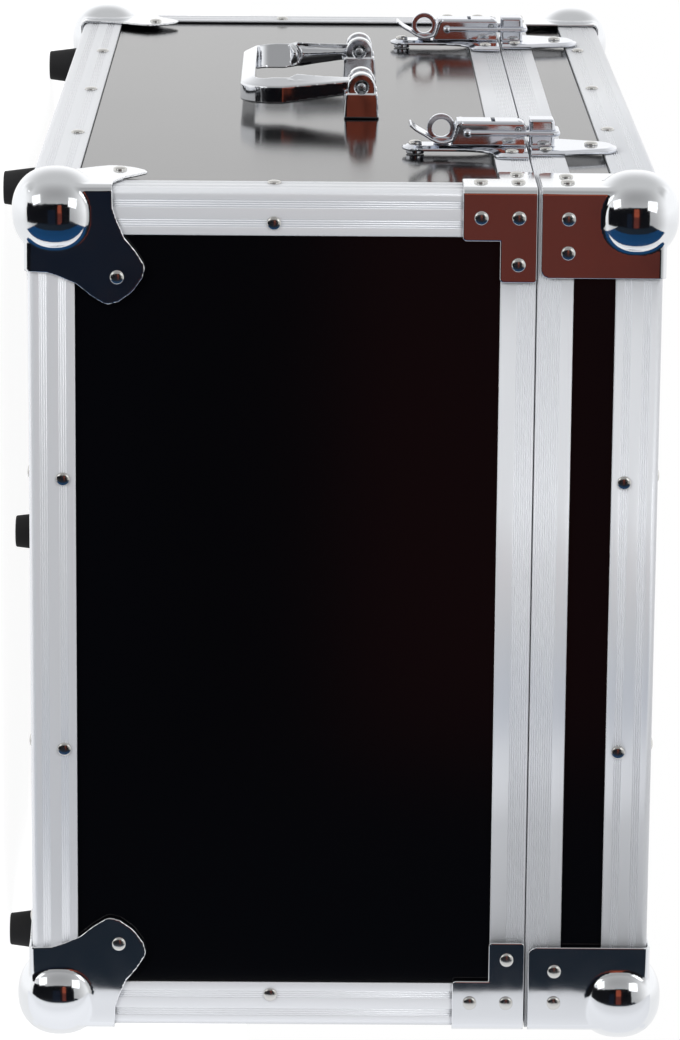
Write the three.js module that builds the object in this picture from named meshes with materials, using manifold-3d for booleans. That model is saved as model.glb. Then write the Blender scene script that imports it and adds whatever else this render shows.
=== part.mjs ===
// A wheel-less flight case about 60 x 41 x 30 cm: laminated plywood panels held in riveted aluminium
// extrusions, pressed steel ball corners, a hinged lid, two toggle latches and a drop handle.
// Millimetres, +Z up, width along X, latches and handle towards -Y, hinges towards +Y. The origin is on the
// floor, under the middle of the whole case with its hardware.
import * as THREE from 'three';
import { mergeVertices } from 'three/addons/utils/BufferGeometryUtils.js';
import Module from 'manifold-3d';

const wasm = await Module();
wasm.setup();

// Clearances
const fitGap = 0.3; // between two pieces that rest on or pass through each other
const runGap = 0.4; // beside a piece that turns
const overrun = 1; // how far a cutter or a joined stub runs past the face it meets

// Outside of the case, over the aluminium
const caseWidth = 600;
const caseLength = 409;
const baseHeight = 236.6; // from the underside of the bottom edges to the seam
const lidHeight = 59;
const seamGap = 0.5; // between the two rims

// Panels and aluminium extrusions
const panelThickness = 7;
const edgeLeg = 22; // width of each flange of an edge angle
const edgeThickness = 1.6;
const edgeRadius = 3; // round on the outer corner of an edge angle
const frameNotch = 4; // filed off the sharp corners of the lid's top frame, inside the balls
const baseRimLeg = 16.7;
const lidRimLeg = 17.5;
const rimInnerLeg = 12; // flange of a rim inside the case
const rimWeb = 2; // wall of a rim over the panel's edge
const tongueHeight = 3;
const tongueThickness = 2;
const tongueGap = 0.8; // each side of the tongue in its groove
const groovePitch = 1.07;
const grooveDepth = 0.35;
const grooveCount = 4; // in each of the two groups on a flange
const outerGroovesAt = 5; // from the outer corner to the first group
const innerGroovesAt = 14; // and to the second
const baseRimGrooves = 8;
const lidRimGrooves = 10;

// Riveted corner hardware
const plateThickness = 1.3;
const ballRadius = 21.5;
const ballInset = 13.8; // from each outer face in to the ball's centre
const cornerArm = 39; // length of the arms of a base ball corner along its edges
const cornerWaistShares = [1.28, 0.75]; // shares of the arm: where the lobe begins
const cornerTipShares = [1.43, 0.98]; // shares of the arm: the rounded shoulder of the lobe
const cornerNeckShare = 0.6; // share of the waist that shapes the hollow between arm and lobe
const cornerRivetAt = 41.5; // from both edges
const lidPlateHeight = 57;
const lidPlateWidth = 41;
const lidPlateRound = 4;
const lidRivetDrop = 44.5; // from the top of the lid
const lidRivetInner = 29; // from the upright edge
const lidRivetOuter = 13;
const braceRise = 34.5; // down the upright corner
const braceRiseWidth = 23.7;
const braceRun = 43.2; // along the rim
const braceRunWidth = 17.1;
const braceRound = 2.5;
const braceRivetInset = 8.5;
const rivetRadius = 3.3;
const rivetHeight = 1.6;
const rivetShoulderShares = [0.8, 0.65]; // shares of the radius and height where the dome bends over

// Rubber feet
const footHeight = 16.5; // from the floor to the bottom edges
const footTopRadius = 10;
const footTipRadius = 8;
const footScrewRadius = 4;
const footScrewDepth = 6;
const footSideInset = 16.5; // from the front and back faces
const footEndInset = 95; // corner feet, from the ends
const middleFootEndInset = 165;

// Drop handle on the front
const handleAxisHeight = 157; // above the underside of the bottom edges
const handleSpan = 128; // between the middles of the two brackets
const handleReach = 62; // from the axis to the outer edge of the grip
const gripWidth = 7.6;
const armWidth = 12;
const armBelow = 7.6; // from the axis towards the case
const armAbove = 0.7; // from the axis to the outer edge of the sloping top
const roofSlopeShare = 0.36; // rise of the sloping top as a share of its width
const handleBend = 18; // outside radius of the bends
const handleChamfer = 1;
const eyeRadius = 6.2;
const collarRadius = 6.8;
const collarLength = 2.8;
const collarDrop = 34; // from the axis to the lower end of a collar, where the arms begin to taper
const armTipDrop = 3;
const armTipShares = [0.54, 0.64]; // shares of its width and height that an arm keeps at the tip
const bracketWidth = 28;
const bracketBase = 17.6; // along Z, on the panel
const bracketWaist = 16.2;
const bracketWaistHeight = 12.2;
const bracketDomeRadius = 7;
const bracketAxisHeight = 15.9; // from the panel side of the bracket to the pin
const bracketSlot = 12;
const bracketRecess = 1.4; // depth of the recess round each end of a pin
const handlePinRadius = 2.6;

// Toggle latches on the front
const latchEndInset = 116; // from the ends of the case to the middle of a latch
const latchPlate = 1.5;
const latchPlateHalf = 31; // half its width beside the seam
const latchWingDrop = 17; // height of the wide part below the seam
const latchTailHalf = 9.5;
const latchTail = 60.9; // from the seam to the tip
const latchRivetX = 24;
const latchRivetDrop = 8.5;
const latchTailRivet = 54.5;
const latchBossRadius = 4.5; // pressed down under the tail's rivet to the panel
const leverWidth = 16;
const leverSheet = 1.2;
const leverTop = 15.2; // height of the lever over the aluminium
const leverPinHeight = 11.2;
const leverCheekBottom = 3.6;
const leverFlat = 31; // from the seam to where the top bends down
const leverTrough = 41.8; // from the seam to the middle of the trough
const leverTroughHeight = 4.2;
const leverTip = 57;
const leverTipHeight = 13.6;
const latchPinRadius = 1.2;
const earSheet = 1.5;
const ringRadius = 7;
const ringBore = 4.6;
const ringHeight = 10.9;
const ringWidth = 3;
const bailWire = 2.3;
const bailBend = 2.5;
const bailPivotDrop = 29.4; // from the seam down to the bail's pivot
const bailPivotHeight = 9.6;
const bailHookRise = 14.4; // from the seam up to the bail's cross bar
const bailHookHeight = 9.6;
const catchRise = 43.7; // from the seam to the tip of the plate
const catchHalf = 21;
const catchTipHalf = 14;
const catchRivetRise = 31;
const catchRivetX = 15.5;
const catchSideRivetRise = 8;
const hoodWidth = 13.6;
const hoodTop = 16.2; // height of the hood over the aluminium
const hoodRound = 4;
const catchTipShare = 0.8; // share of the half width that shapes the rounded tip

// Butt hinges on the back
const hingeWidth = 62;
const hingeLeaf = 15.5; // height of each leaf
const hingeSheet = 1.5;
const hingeKnuckleRadius = 3.5;
const hingePinRadius = 1.9;
const hingeHeadRadius = 3;
const hingeHead = 1.2;
const hingeKnuckles = 5;

// Places that follow from the sizes
const panelInset = edgeThickness + fitGap; // from the aluminium's outer face in to the panels
const bottomZ = footHeight;
const seamZ = bottomZ + baseHeight;
const lidZ = seamZ + seamGap;
const topZ = seamZ + lidHeight;
const halfWidth = caseWidth / 2;
const halfLength = caseLength / 2;
const latchX = halfWidth - latchEndInset; // the hinges stand opposite the latches
const lidRimWeb = rimWeb + tongueHeight;
const hingeAxis = fitGap + hingeKnuckleRadius; // out from the back face
const ballReach = ballRadius - ballInset;
const latchNeckDrop = leverTrough - ringRadius; // where the base plate of a latch has narrowed to its tail
const bracketReach = bracketAxisHeight + bracketDomeRadius + fitGap - panelInset;
const frontReach = Math.max(bracketReach, ringHeight + ringRadius, hoodTop, ballReach);
const backReach = Math.max(hingeAxis + hingeKnuckleRadius, ballReach);

// Finishes
function finish(color, roughness, metalness) {
  return new THREE.MeshStandardMaterial({ color, roughness, metalness });
}
const laminate = finish(0x161617, 0.5, 0);
const aluminium = finish(0xc9cbcd, 0.35, 1);
const chrome = finish(0xd9dbdd, 0.1, 1);
const steel = finish(0xb4b6b9, 0.3, 1);
const rubber = finish(0x1b1b1c, 0.85, 0);

// The three ways a flat outline is pushed out into a solid
const alongX = new THREE.Matrix4().makeBasis(
  new THREE.Vector3(0, 1, 0), new THREE.Vector3(0, 0, 1), new THREE.Vector3(1, 0, 0));
const towardsFront = new THREE.Matrix4().makeBasis(
  new THREE.Vector3(1, 0, 0), new THREE.Vector3(0, 0, 1), new THREE.Vector3(0, -1, 0));

function outline(points) {
  return new THREE.Shape(points.map(([x, y]) => new THREE.Vector2(x, y)));
}

function prism(shape, depth, direction, curveSegments = 3) {
  const g = new THREE.ExtrudeGeometry(shape, { depth, bevelEnabled: false, curveSegments });
  return direction ? g.applyMatrix4(direction) : g;
}

// A side view of a latch or bracket, given as points [z, height over the face], made `width` wide along X.
function sideSolid(points, width) {
  const shape = outline(points.map(([z, height]) => [-height, z]));
  return prism(shape, width, alongX).translate(-width / 2, 0, 0);
}

function block(x0, x1, y0, y1, z0, z1) {
  return new THREE.BoxGeometry(x1 - x0, y1 - y0, z1 - z0)
    .translate((x0 + x1) / 2, (y0 + y1) / 2, (z0 + z1) / 2);
}

// A round bar along X with its middle at x = 0.
function barX(radius, length, sides = 12) {
  return new THREE.CylinderGeometry(radius, radius, length, sides).rotateZ(Math.PI / 2);
}

function toSolid(geometry) {
  const g = geometry.clone();
  g.deleteAttribute('normal');
  g.deleteAttribute('uv');
  const merged = mergeVertices(g, 1e-4);
  return new wasm.Manifold(new wasm.Mesh({
    numProp: 3,
    vertProperties: merged.attributes.position.array,
    triVerts: new Uint32Array(merged.index.array),
  }));
}

function toGeometry(solid) {
  const mesh = solid.getMesh();
  const g = new THREE.BufferGeometry();
  g.setAttribute('position', new THREE.BufferAttribute(new Float32Array(mesh.vertProperties), 3));
  g.setIndex(new THREE.BufferAttribute(new Uint32Array(mesh.triVerts), 1));
  g.computeVertexNormals();
  return g;
}

function joined(pieces) {
  return pieces.map(toSolid).reduce((all, piece) => all.add(piece));
}

function cut(solid, cutters) {
  return cutters.map(toSolid).reduce((rest, cutter) => rest.subtract(cutter), solid);
}

// An outline of points [side, rise] carried along a flat path with mitred corners. `rise` is the direction
// square to the path's plane; `side` points to the left of the path when seen against it. The outline can
// change along the path: `sectionAt` gives it for each point.
function sweep(path, rise, sectionAt, closed) {
  const count = path.length;
  const ring = sectionAt(0).length;
  const positions = [];
  path.forEach((point, i) => {
    const before = path[closed ? (i + count - 1) % count : Math.max(i - 1, 0)];
    const after = path[closed ? (i + 1) % count : Math.min(i + 1, count - 1)];
    const incoming = point.clone().sub(before).normalize();
    const outgoing = after.clone().sub(point).normalize();
    if (point === before) incoming.copy(outgoing);
    if (point === after) outgoing.copy(incoming);
    const along = incoming.clone().add(outgoing).normalize();
    const side = rise.clone().cross(along).divideScalar(along.dot(outgoing));
    sectionAt(i).forEach(([s, r]) => {
      const p = point.clone().addScaledVector(side, s).addScaledVector(rise, r);
      positions.push(p.x, p.y, p.z);
    });
  });
  const faces = [];
  const spans = closed ? count : count - 1;
  for (let i = 0; i < spans; i++) {
    const here = i * ring;
    const next = ((i + 1) % count) * ring;
    for (let j = 0; j < ring; j++) {
      const k = (j + 1) % ring;
      faces.push(here + j, here + k, next + k, here + j, next + k, next + j);
    }
  }
  if (!closed) {
    const flat = sectionAt(0).map(([s, r]) => new THREE.Vector2(s, r));
    const last = (count - 1) * ring;
    THREE.ShapeUtils.triangulateShape(flat, []).forEach(([a, b, c]) => {
      faces.push(c, b, a, last + a, last + b, last + c);
    });
  }
  const g = new THREE.BufferGeometry();
  g.setAttribute('position', new THREE.Float32BufferAttribute(positions, 3));
  g.setIndex(faces);
  g.computeVertexNormals();
  return g;
}

// A path through corner points, each corner rounded to the radius in steps.
function roundedPath(corners, radius, steps) {
  const path = [];
  corners.forEach((corner, i) => {
    if (i === 0 || i === corners.length - 1) {
      path.push(corner.clone());
      return;
    }
    const back = corners[i - 1].clone().sub(corner).normalize();
    const ahead = corners[i + 1].clone().sub(corner).normalize();
    const half = back.angleTo(ahead) / 2;
    const inward = back.clone().add(ahead).normalize();
    const centre = corner.clone().addScaledVector(inward, radius / Math.sin(half));
    const first = corner.clone().addScaledVector(back, radius / Math.tan(half)).sub(centre);
    const last = corner.clone().addScaledVector(ahead, radius / Math.tan(half)).sub(centre);
    const axis = first.clone().cross(last).normalize();
    const turn = first.angleTo(last);
    for (let k = 0; k <= steps; k++) {
      path.push(first.clone().applyAxisAngle(axis, (turn * k) / steps).add(centre));
    }
  });
  return path;
}

const parts = new THREE.Group();
parts.position.y = (frontReach - backReach) / 2;
const base = new THREE.Group();
const lid = new THREE.Group();
parts.add(base, lid);

function addPiece(group, name, geometry, material) {
  const mesh = new THREE.Mesh(geometry, material);
  mesh.name = name;
  group.add(mesh);
  return mesh;
}

const sides = { left: -1, right: 1 };
const ends = { front: -1, back: 1 };

// Panels: each box is butted inside the ones before it
const panelX = halfWidth - panelInset;
const panelY = halfLength - panelInset;
const floorTop = bottomZ + panelInset + panelThickness;
const baseWallTop = seamZ - rimWeb - fitGap;
const lidWallBottom = lidZ + lidRimWeb + fitGap;
const lidWallTop = topZ - panelInset - panelThickness - fitGap;

function walls(group, prefix, z0, z1) {
  for (const [name, s] of Object.entries(ends)) {
    const y = s * (panelY - panelThickness / 2);
    const g = new THREE.BoxGeometry(2 * panelX, panelThickness, z1 - z0);
    addPiece(group, `${prefix}_${name}_panel`, g, laminate).position.set(0, y, (z0 + z1) / 2);
  }
  for (const [name, s] of Object.entries(sides)) {
    const x = s * (panelX - panelThickness / 2);
    const g = new THREE.BoxGeometry(panelThickness, 2 * (panelY - panelThickness - fitGap), z1 - z0);
    addPiece(group, `${prefix}_${name}_panel`, g, laminate).position.set(x, 0, (z0 + z1) / 2);
  }
}

function flatPanel(group, name, middleZ) {
  const g = new THREE.BoxGeometry(2 * panelX, 2 * panelY, panelThickness);
  addPiece(group, name, g, laminate).position.z = middleZ;
}

flatPanel(base, 'base_floor_panel', floorTop - panelThickness / 2);
walls(base, 'base', floorTop + fitGap, baseWallTop);
flatPanel(lid, 'lid_top_panel', topZ - panelInset - panelThickness / 2);
walls(lid, 'lid', lidWallBottom, lidWallTop);

// V grooves rolled into a straight face: points from `start` in the direction `along`, cut in along `into`.
function grooves(start, along, into, first, count) {
  const points = [];
  for (let i = 0; i < count; i++) {
    const middle = first + (i + 0.5) * groovePitch;
    const half = groovePitch / 3;
    for (const [offset, depth] of [[-half, 0], [0, grooveDepth], [half, 0]]) {
      const d = middle + offset;
      points.push([start[0] + along[0] * d + into[0] * depth, start[1] + along[1] * d + into[1] * depth]);
    }
  }
  return points;
}

// Section of an edge angle, with its sharp outer corner at 0, 0 and its flanges along both axes
function edgeSection() {
  const right = [outerGroovesAt, innerGroovesAt]
    .flatMap((at) => grooves([0, 0], [1, 0], [0, 1], at, grooveCount));
  const up = right.map(([a, b]) => [b, a]).reverse();
  const round = [];
  const steps = 4;
  for (let i = 0; i <= steps; i++) {
    const angle = Math.PI + (Math.PI / 2) * (i / steps);
    round.push([edgeRadius * (1 + Math.cos(angle)), edgeRadius * (1 + Math.sin(angle))]);
  }
  return [
    ...round, ...right,
    [edgeLeg, 0], [edgeLeg, edgeThickness], [edgeThickness, edgeThickness],
    [edgeThickness, edgeLeg], [0, edgeLeg], ...up,
  ];
}

// A straight length of edge angle. `a` and `b` are the inward directions of its two flanges.
function edgeLength(corner, a, b, length) {
  const along = a.clone().cross(b);
  const start = corner.clone().addScaledVector(along, -length / 2);
  const placed = new THREE.Matrix4().makeBasis(a, b, along).setPosition(start);
  return prism(outline(edgeSection()), length, placed);
}

// The lengths stop short of the case's corners, under the ball corners
const cornerSetback = edgeLeg + fitGap;
const up = new THREE.Vector3(0, 0, 1);
for (const [name, s] of Object.entries(ends)) {
  const corner = new THREE.Vector3(0, s * halfLength, bottomZ);
  const inward = new THREE.Vector3(0, -s, 0);
  const [a, b] = s < 0 ? [inward, up] : [up, inward];
  const g = edgeLength(corner, a, b, caseWidth - 2 * cornerSetback);
  addPiece(base, `bottom_edge_${name}`, g, aluminium);
}
for (const [name, s] of Object.entries(sides)) {
  const corner = new THREE.Vector3(s * halfWidth, 0, bottomZ);
  const inward = new THREE.Vector3(-s, 0, 0);
  const [a, b] = s < 0 ? [inward, up] : [up, inward];
  const g = edgeLength(corner, a, b, caseLength - 2 * cornerSetback);
  addPiece(base, `bottom_edge_${name}`, g, aluminium);
}
const uprightBottom = bottomZ + cornerSetback;
const uprightTop = seamZ - baseRimLeg - fitGap;
for (const [endName, t] of Object.entries(ends)) {
  for (const [sideName, s] of Object.entries(sides)) {
    const middle = (uprightBottom + uprightTop) / 2;
    const corner = new THREE.Vector3(s * halfWidth, t * halfLength, middle);
    const inX = new THREE.Vector3(-s, 0, 0);
    const inY = new THREE.Vector3(0, -t, 0);
    const [a, b] = s * t > 0 ? [inX, inY] : [inY, inX];
    const g = edgeLength(corner, a, b, uprightTop - uprightBottom);
    addPiece(base, `corner_edge_${endName}_${sideName}`, g, aluminium);
  }
}

// A frame of one section mitred round the case; the section's points are [inward, up]
function mitredFrame(section, z) {
  const path = [[-1, -1], [1, -1], [1, 1], [-1, 1]]
    .map(([x, y]) => new THREE.Vector3(x * halfWidth, y * halfLength, z));
  return sweep(path, up, () => section, true);
}

// The base's rim wraps the wall's edge and carries a tongue; the lid's rim has the groove for it
const ridgeInset = panelInset + panelThickness + fitGap;
const innerFace = ridgeInset + edgeThickness;
const tongueIn = panelInset + (panelThickness - tongueThickness) / 2;
const tongueOut = tongueIn + tongueThickness;
const baseRimSection = [
  [edgeThickness, -baseRimLeg], [edgeThickness, -rimWeb], [ridgeInset, -rimWeb], [ridgeInset, -rimInnerLeg],
  [innerFace, -rimInnerLeg], [innerFace, 0], [tongueOut, 0], [tongueOut, tongueHeight],
  [tongueIn, tongueHeight], [tongueIn, 0],
  ...grooves([0, 0], [0, -1], [1, 0], groovePitch / 2, baseRimGrooves), [0, -baseRimLeg],
];
addPiece(base, 'base_rim_frame', mitredFrame(baseRimSection, seamZ), aluminium);

const grooveIn = tongueIn - tongueGap;
const grooveOut = tongueOut + tongueGap;
const grooveTop = tongueHeight + tongueGap - seamGap;
const lidRimTop = lidRimLeg - seamGap;
const lidRimSection = [
  [grooveIn, 0], [grooveIn, grooveTop], [grooveOut, grooveTop], [grooveOut, 0], [innerFace, 0],
  [innerFace, rimInnerLeg], [ridgeInset, rimInnerLeg], [ridgeInset, lidRimWeb],
  [edgeThickness, lidRimWeb], [edgeThickness, lidRimTop], [0, lidRimTop],
  ...grooves([0, 0], [0, 1], [1, 0], groovePitch / 2, lidRimGrooves).reverse(),
];
addPiece(lid, 'lid_rim_frame', mitredFrame(lidRimSection, lidZ), aluminium);

// The lid's top edge angle runs round in one mitred frame: flanges down the sides and in over the top
const topEdgeSection = edgeSection().map(([a, b]) => [a, -b]).reverse();
const frameNotches = Object.values(ends).flatMap((t) => Object.values(sides).map((s) => {
  const size = 2 * frameNotch;
  return new THREE.BoxGeometry(size, size, size).translate(s * halfWidth, t * halfLength, topZ);
}));
const topFrame = cut(toSolid(mitredFrame(topEdgeSection, topZ)), frameNotches);
addPiece(lid, 'lid_top_frame', toGeometry(topFrame), aluminium);

// Domed rivet head standing on z = 0, pointing up
function rivetHead(sides = 6) {
  const [shoulderOut, shoulderUp] = rivetShoulderShares;
  const shoulder = [rivetRadius * shoulderOut, rivetHeight * shoulderUp];
  const profile = [[0, -fitGap], [rivetRadius, -fitGap], shoulder, [0, rivetHeight]];
  const g = new THREE.LatheGeometry(profile.map(([r, z]) => new THREE.Vector2(r, z)), sides);
  return g.rotateX(Math.PI / 2);
}

// Corner hardware is drawn at a corner of the case with the case on the side where x, y and z are positive.
// `face` 0, 1 or 2 is the face square to x, y or z; [u, v] are the two other directions in turn.
const faceBases = [
  [new THREE.Vector3(0, 1, 0), new THREE.Vector3(0, 0, 1), new THREE.Vector3(1, 0, 0)],
  [new THREE.Vector3(0, 0, 1), new THREE.Vector3(1, 0, 0), new THREE.Vector3(0, 1, 0)],
  [new THREE.Vector3(1, 0, 0), new THREE.Vector3(0, 1, 0), new THREE.Vector3(0, 0, 1)],
];

function facePlate(face, shape) {
  const placed = new THREE.Matrix4().makeBasis(...faceBases[face]);
  return prism(shape, plateThickness, null, 2).translate(0, 0, -fitGap - plateThickness).applyMatrix4(placed);
}

function faceRivet(face, u, v) {
  const placed = new THREE.Matrix4().makeBasis(...faceBases[face]);
  return rivetHead().rotateX(Math.PI).translate(u, v, -fitGap - plateThickness).applyMatrix4(placed);
}

// A ball joined to its plates. The plates end inside the ball, short of the case's sharp corner, and the ball
// is cut away where the panels and the aluminium edges are: `setback` is how far the edges stop short.
function ballCorner(plates, setback) {
  const size = 2 * ballRadius;
  const skin = panelInset - fitGap;
  const cutters = [block(skin, size, skin, size, skin, size)];
  for (let axis = 0; axis < 3; axis++) {
    const low = [-fitGap, -fitGap, -fitGap];
    low[axis] = setback - fitGap;
    cutters.push(block(low[0], size, low[1], size, low[2], size));
  }
  const ball = new THREE.SphereGeometry(ballRadius, 12, 8).translate(ballInset, ballInset, ballInset);
  const sharp = block(-size, ballInset, -size, ballInset, -size, ballInset);
  return toGeometry(cut(joined(plates), [sharp]).add(cut(toSolid(ball), cutters)));
}

// One leaf of a base ball corner: two arms along the edges and a rounded lobe between them
function leafShape() {
  const edge = -fitGap - plateThickness;
  const [waistU, waistV] = cornerWaistShares.map((share) => share * cornerArm);
  const [tipU, tipV] = cornerTipShares.map((share) => share * cornerArm);
  const shape = new THREE.Shape();
  const neck = waistV * cornerNeckShare;
  const far = (tipU * 3 + tipV) / 4;
  const near = (tipU + tipV * 3) / 4;
  shape.moveTo(edge, edge);
  shape.lineTo(cornerArm, edge);
  shape.quadraticCurveTo(cornerArm, neck, waistU, waistV);
  shape.quadraticCurveTo(tipU, tipV, far, near);
  shape.lineTo(near, far);
  shape.quadraticCurveTo(tipV, tipU, waistV, waistU);
  shape.quadraticCurveTo(neck, cornerArm, edge, cornerArm);
  return shape;
}

function baseBallCorner() {
  const pieces = [0, 1, 2].flatMap((face) => [
    facePlate(face, leafShape()), faceRivet(face, cornerRivetAt, cornerRivetAt),
  ]);
  return ballCorner(pieces, cornerSetback);
}

function roundedRect(u0, v0, u1, v1, radius) {
  const shape = new THREE.Shape();
  shape.moveTo(u0, v0);
  shape.lineTo(u1 - radius, v0);
  shape.quadraticCurveTo(u1, v0, u1, v0 + radius);
  shape.lineTo(u1, v1 - radius);
  shape.quadraticCurveTo(u1, v1, u1 - radius, v1);
  shape.lineTo(u0, v1);
  return shape;
}

// A lid ball corner: two upright plates as tall as the lid and a square one on top
function lidBallCorner() {
  const edge = -fitGap - plateThickness;
  const pieces = [
    facePlate(0, roundedRect(edge, edge, lidPlateWidth, lidPlateHeight, lidPlateRound)),
    facePlate(1, roundedRect(edge, edge, lidPlateHeight, lidPlateWidth, lidPlateRound)),
    facePlate(2, roundedRect(edge, edge, lidPlateWidth, lidPlateWidth, lidPlateRound)),
    faceRivet(0, lidRivetInner, lidRivetDrop), faceRivet(0, lidRivetOuter, lidRivetDrop),
    faceRivet(1, lidRivetDrop, lidRivetInner), faceRivet(1, lidRivetDrop, lidRivetOuter),
    faceRivet(2, lidPlateWidth - braceRivetInset, lidPlateWidth - braceRivetInset),
  ];
  return ballCorner(pieces, frameNotch);
}

// A rim brace: an L on each of the two faces, bent round the corner from one plate; z runs down from the seam
function braceShape(riseFirst) {
  const edge = -fitGap - plateThickness;
  const r = braceRound;
  const along = [
    [edge, 0], [braceRun - r, 0], [braceRun, r], [braceRun, braceRunWidth - r], [braceRun - r, braceRunWidth],
    [braceRiseWidth, braceRunWidth], [braceRiseWidth, braceRise - r], [braceRiseWidth - r, braceRise],
    [edge, braceRise],
  ];
  return outline(riseFirst ? along.map(([u, v]) => [v, u]) : along);
}

function rimBrace() {
  const u = braceRivetInset;
  const places = [
    [u + u / 2, u], [braceRun - u, u], [u + u / 2, braceRise - u],
  ];
  const pieces = [facePlate(0, braceShape(false)), facePlate(1, braceShape(true))];
  places.forEach(([across, down]) => {
    pieces.push(faceRivet(0, across, down), faceRivet(1, down, across));
  });
  return joined(pieces);
}

const baseCornerGeometry = baseBallCorner();
const lidCornerGeometry = lidBallCorner();
const braceGeometry = toGeometry(rimBrace());
for (const [endName, t] of Object.entries(ends)) {
  for (const [sideName, s] of Object.entries(sides)) {
    const place = `${endName}_${sideName}`;
    const corner = addPiece(base, `ball_corner_${place}`, baseCornerGeometry, chrome);
    corner.position.set(s * halfWidth, t * halfLength, bottomZ);
    corner.scale.set(-s, -t, 1);
    const brace = addPiece(base, `rim_brace_${place}`, braceGeometry, chrome);
    brace.position.set(s * halfWidth, t * halfLength, seamZ);
    brace.scale.set(-s, -t, -1);
    const lidCorner = addPiece(lid, `lid_ball_corner_${place}`, lidCornerGeometry, chrome);
    lidCorner.position.set(s * halfWidth, t * halfLength, topZ);
    lidCorner.scale.set(-s, -t, -1);
  }
}

// Feet: rubber cones with a deep screw hole in the tip; the middle pair stands on the panel between the edges
function foot(height) {
  const profile = [
    [0, footScrewDepth], [footScrewRadius, footScrewDepth], [footScrewRadius, 0], [footTipRadius, 0],
    [footTopRadius, height], [0, height],
  ];
  return new THREE.LatheGeometry(profile.map(([r, z]) => new THREE.Vector2(r, z)), 12).rotateX(Math.PI / 2);
}
const footRows = {
  front: [-halfLength + footSideInset, footEndInset, footHeight - fitGap],
  middle: [0, middleFootEndInset, footHeight + panelInset - fitGap],
  back: [halfLength - footSideInset, footEndInset, footHeight - fitGap],
};
for (const [rowName, [y, endInset, height]] of Object.entries(footRows)) {
  for (const [sideName, s] of Object.entries(sides)) {
    addPiece(base, `foot_${rowName}_${sideName}`, foot(height), rubber)
      .position.set(s * (halfWidth - endInset), y, 0);
  }
}

// The drop handle hangs in a slotted bracket at each side, on a pin along X
const handle = new THREE.Group();
handle.position.set(0, -halfLength + panelInset - fitGap, bottomZ + handleAxisHeight);
base.add(handle);
const handleHalf = handleSpan / 2;
const handleCentre = -bracketAxisHeight;
const eyeWidth = bracketSlot - 2 * runGap;
const handleBore = handlePinRadius + fitGap;

function bracket() {
  const shape = new THREE.Shape();
  shape.moveTo(0, -bracketBase / 2);
  shape.lineTo(-bracketWaistHeight, -bracketWaist / 2);
  shape.absarc(-bracketAxisHeight, 0, bracketDomeRadius, -Math.PI / 2, Math.PI / 2, true);
  shape.lineTo(-bracketWaistHeight, bracketWaist / 2);
  shape.lineTo(0, bracketBase / 2);
  const body = prism(shape, bracketWidth, alongX, 6).translate(-bracketWidth / 2, 0, 0);
  const floor = bracketAxisHeight - eyeRadius - 2 * runGap;
  const top = bracketAxisHeight + bracketDomeRadius + overrun;
  const half = bracketSlot / 2;
  const recess = barX(handleBore + bracketRecess, bracketRecess + overrun);
  const recessX = (bracketWidth - bracketRecess + overrun) / 2;
  return toGeometry(cut(toSolid(body), [
    block(-half, half, -top, -floor, -bracketBase, bracketBase),
    barX(handleBore, bracketWidth + 2 * overrun).translate(0, handleCentre, 0),
    recess.clone().translate(recessX, handleCentre, 0),
    recess.clone().translate(-recessX, handleCentre, 0),
  ]));
}

// The bar's section where it is `width` wide: the case is towards -rise, and the top slopes up inwards
function gripSection(width) {
  const c = handleChamfer;
  const ridge = armAbove + width * roofSlopeShare;
  return [
    [width - c, -armBelow], [width, c - armBelow], [width, ridge - c], [width - c, ridge],
    [0, armAbove], [0, c - armBelow], [c, -armBelow],
  ];
}

// Its outer edge runs down one arm, across the grip and up the other; the arms taper from collars to eyes
function carryHandle() {
  const edge = handleHalf + armWidth / 2;
  const corners = [
    [-edge, -armTipDrop], [-edge, -collarDrop], [-edge, -handleReach],
    [edge, -handleReach], [edge, -collarDrop], [edge, -armTipDrop],
  ].map(([x, z]) => new THREE.Vector3(x, handleCentre, z));
  const bendSteps = 5;
  const bends = roundedPath([corners[1], corners[2], corners[3], corners[4]], handleBend, bendSteps);
  const path = [corners[0], ...bends, corners[5]];
  const last = path.length - 1;
  const middle = (armAbove + armWidth * roofSlopeShare - armBelow) / 2;
  const tip = gripSection(armWidth).map(([s, r]) => [
    armWidth / 2 + (s - armWidth / 2) * armTipShares[0], middle / 2 + (r - middle) * armTipShares[1],
  ]);
  const sectionAt = (i) => {
    if (i === 0 || i === last) return tip;
    const intoBend = (Math.min(i, last - i) - 2) / bendSteps;
    return gripSection(THREE.MathUtils.lerp(armWidth, gripWidth, THREE.MathUtils.smoothstep(intoBend, 0, 1)));
  };
  const pieces = [sweep(path, new THREE.Vector3(0, -1, 0), sectionAt, false)];
  const collars = [];
  const outerHalves = [];
  for (const s of [-1, 1]) {
    pieces.push(barX(eyeRadius, eyeWidth).translate(s * handleHalf, handleCentre, 0));
    collars.push(new THREE.CylinderGeometry(collarRadius, collarRadius, collarLength, 12).rotateX(Math.PI / 2)
      .translate(s * handleHalf, handleCentre - middle, collarLength / 2 - collarDrop));
    outerHalves.push(block(-armWidth, armWidth, -armWidth, armWidth, -collarDrop, armWidth - collarDrop)
      .translate(s * (handleHalf + armWidth), handleCentre, 0));
  }
  const bores = [-1, 1].map((s) => barX(handleBore, bracketSlot).translate(s * handleHalf, handleCentre, 0));
  return toGeometry(cut(joined(pieces).add(cut(joined(collars), outerHalves)), bores));
}

for (const [name, s] of Object.entries(sides)) {
  addPiece(handle, `handle_bracket_${name}`, bracket(), chrome).position.x = s * handleHalf;
  const pin = barX(handlePinRadius, bracketWidth - bracketRecess).translate(0, handleCentre, 0);
  addPiece(handle, `handle_pin_${name}`, pin, steel).position.x = s * handleHalf;
}
addPiece(handle, 'carry_handle', carryHandle(), chrome);

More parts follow.
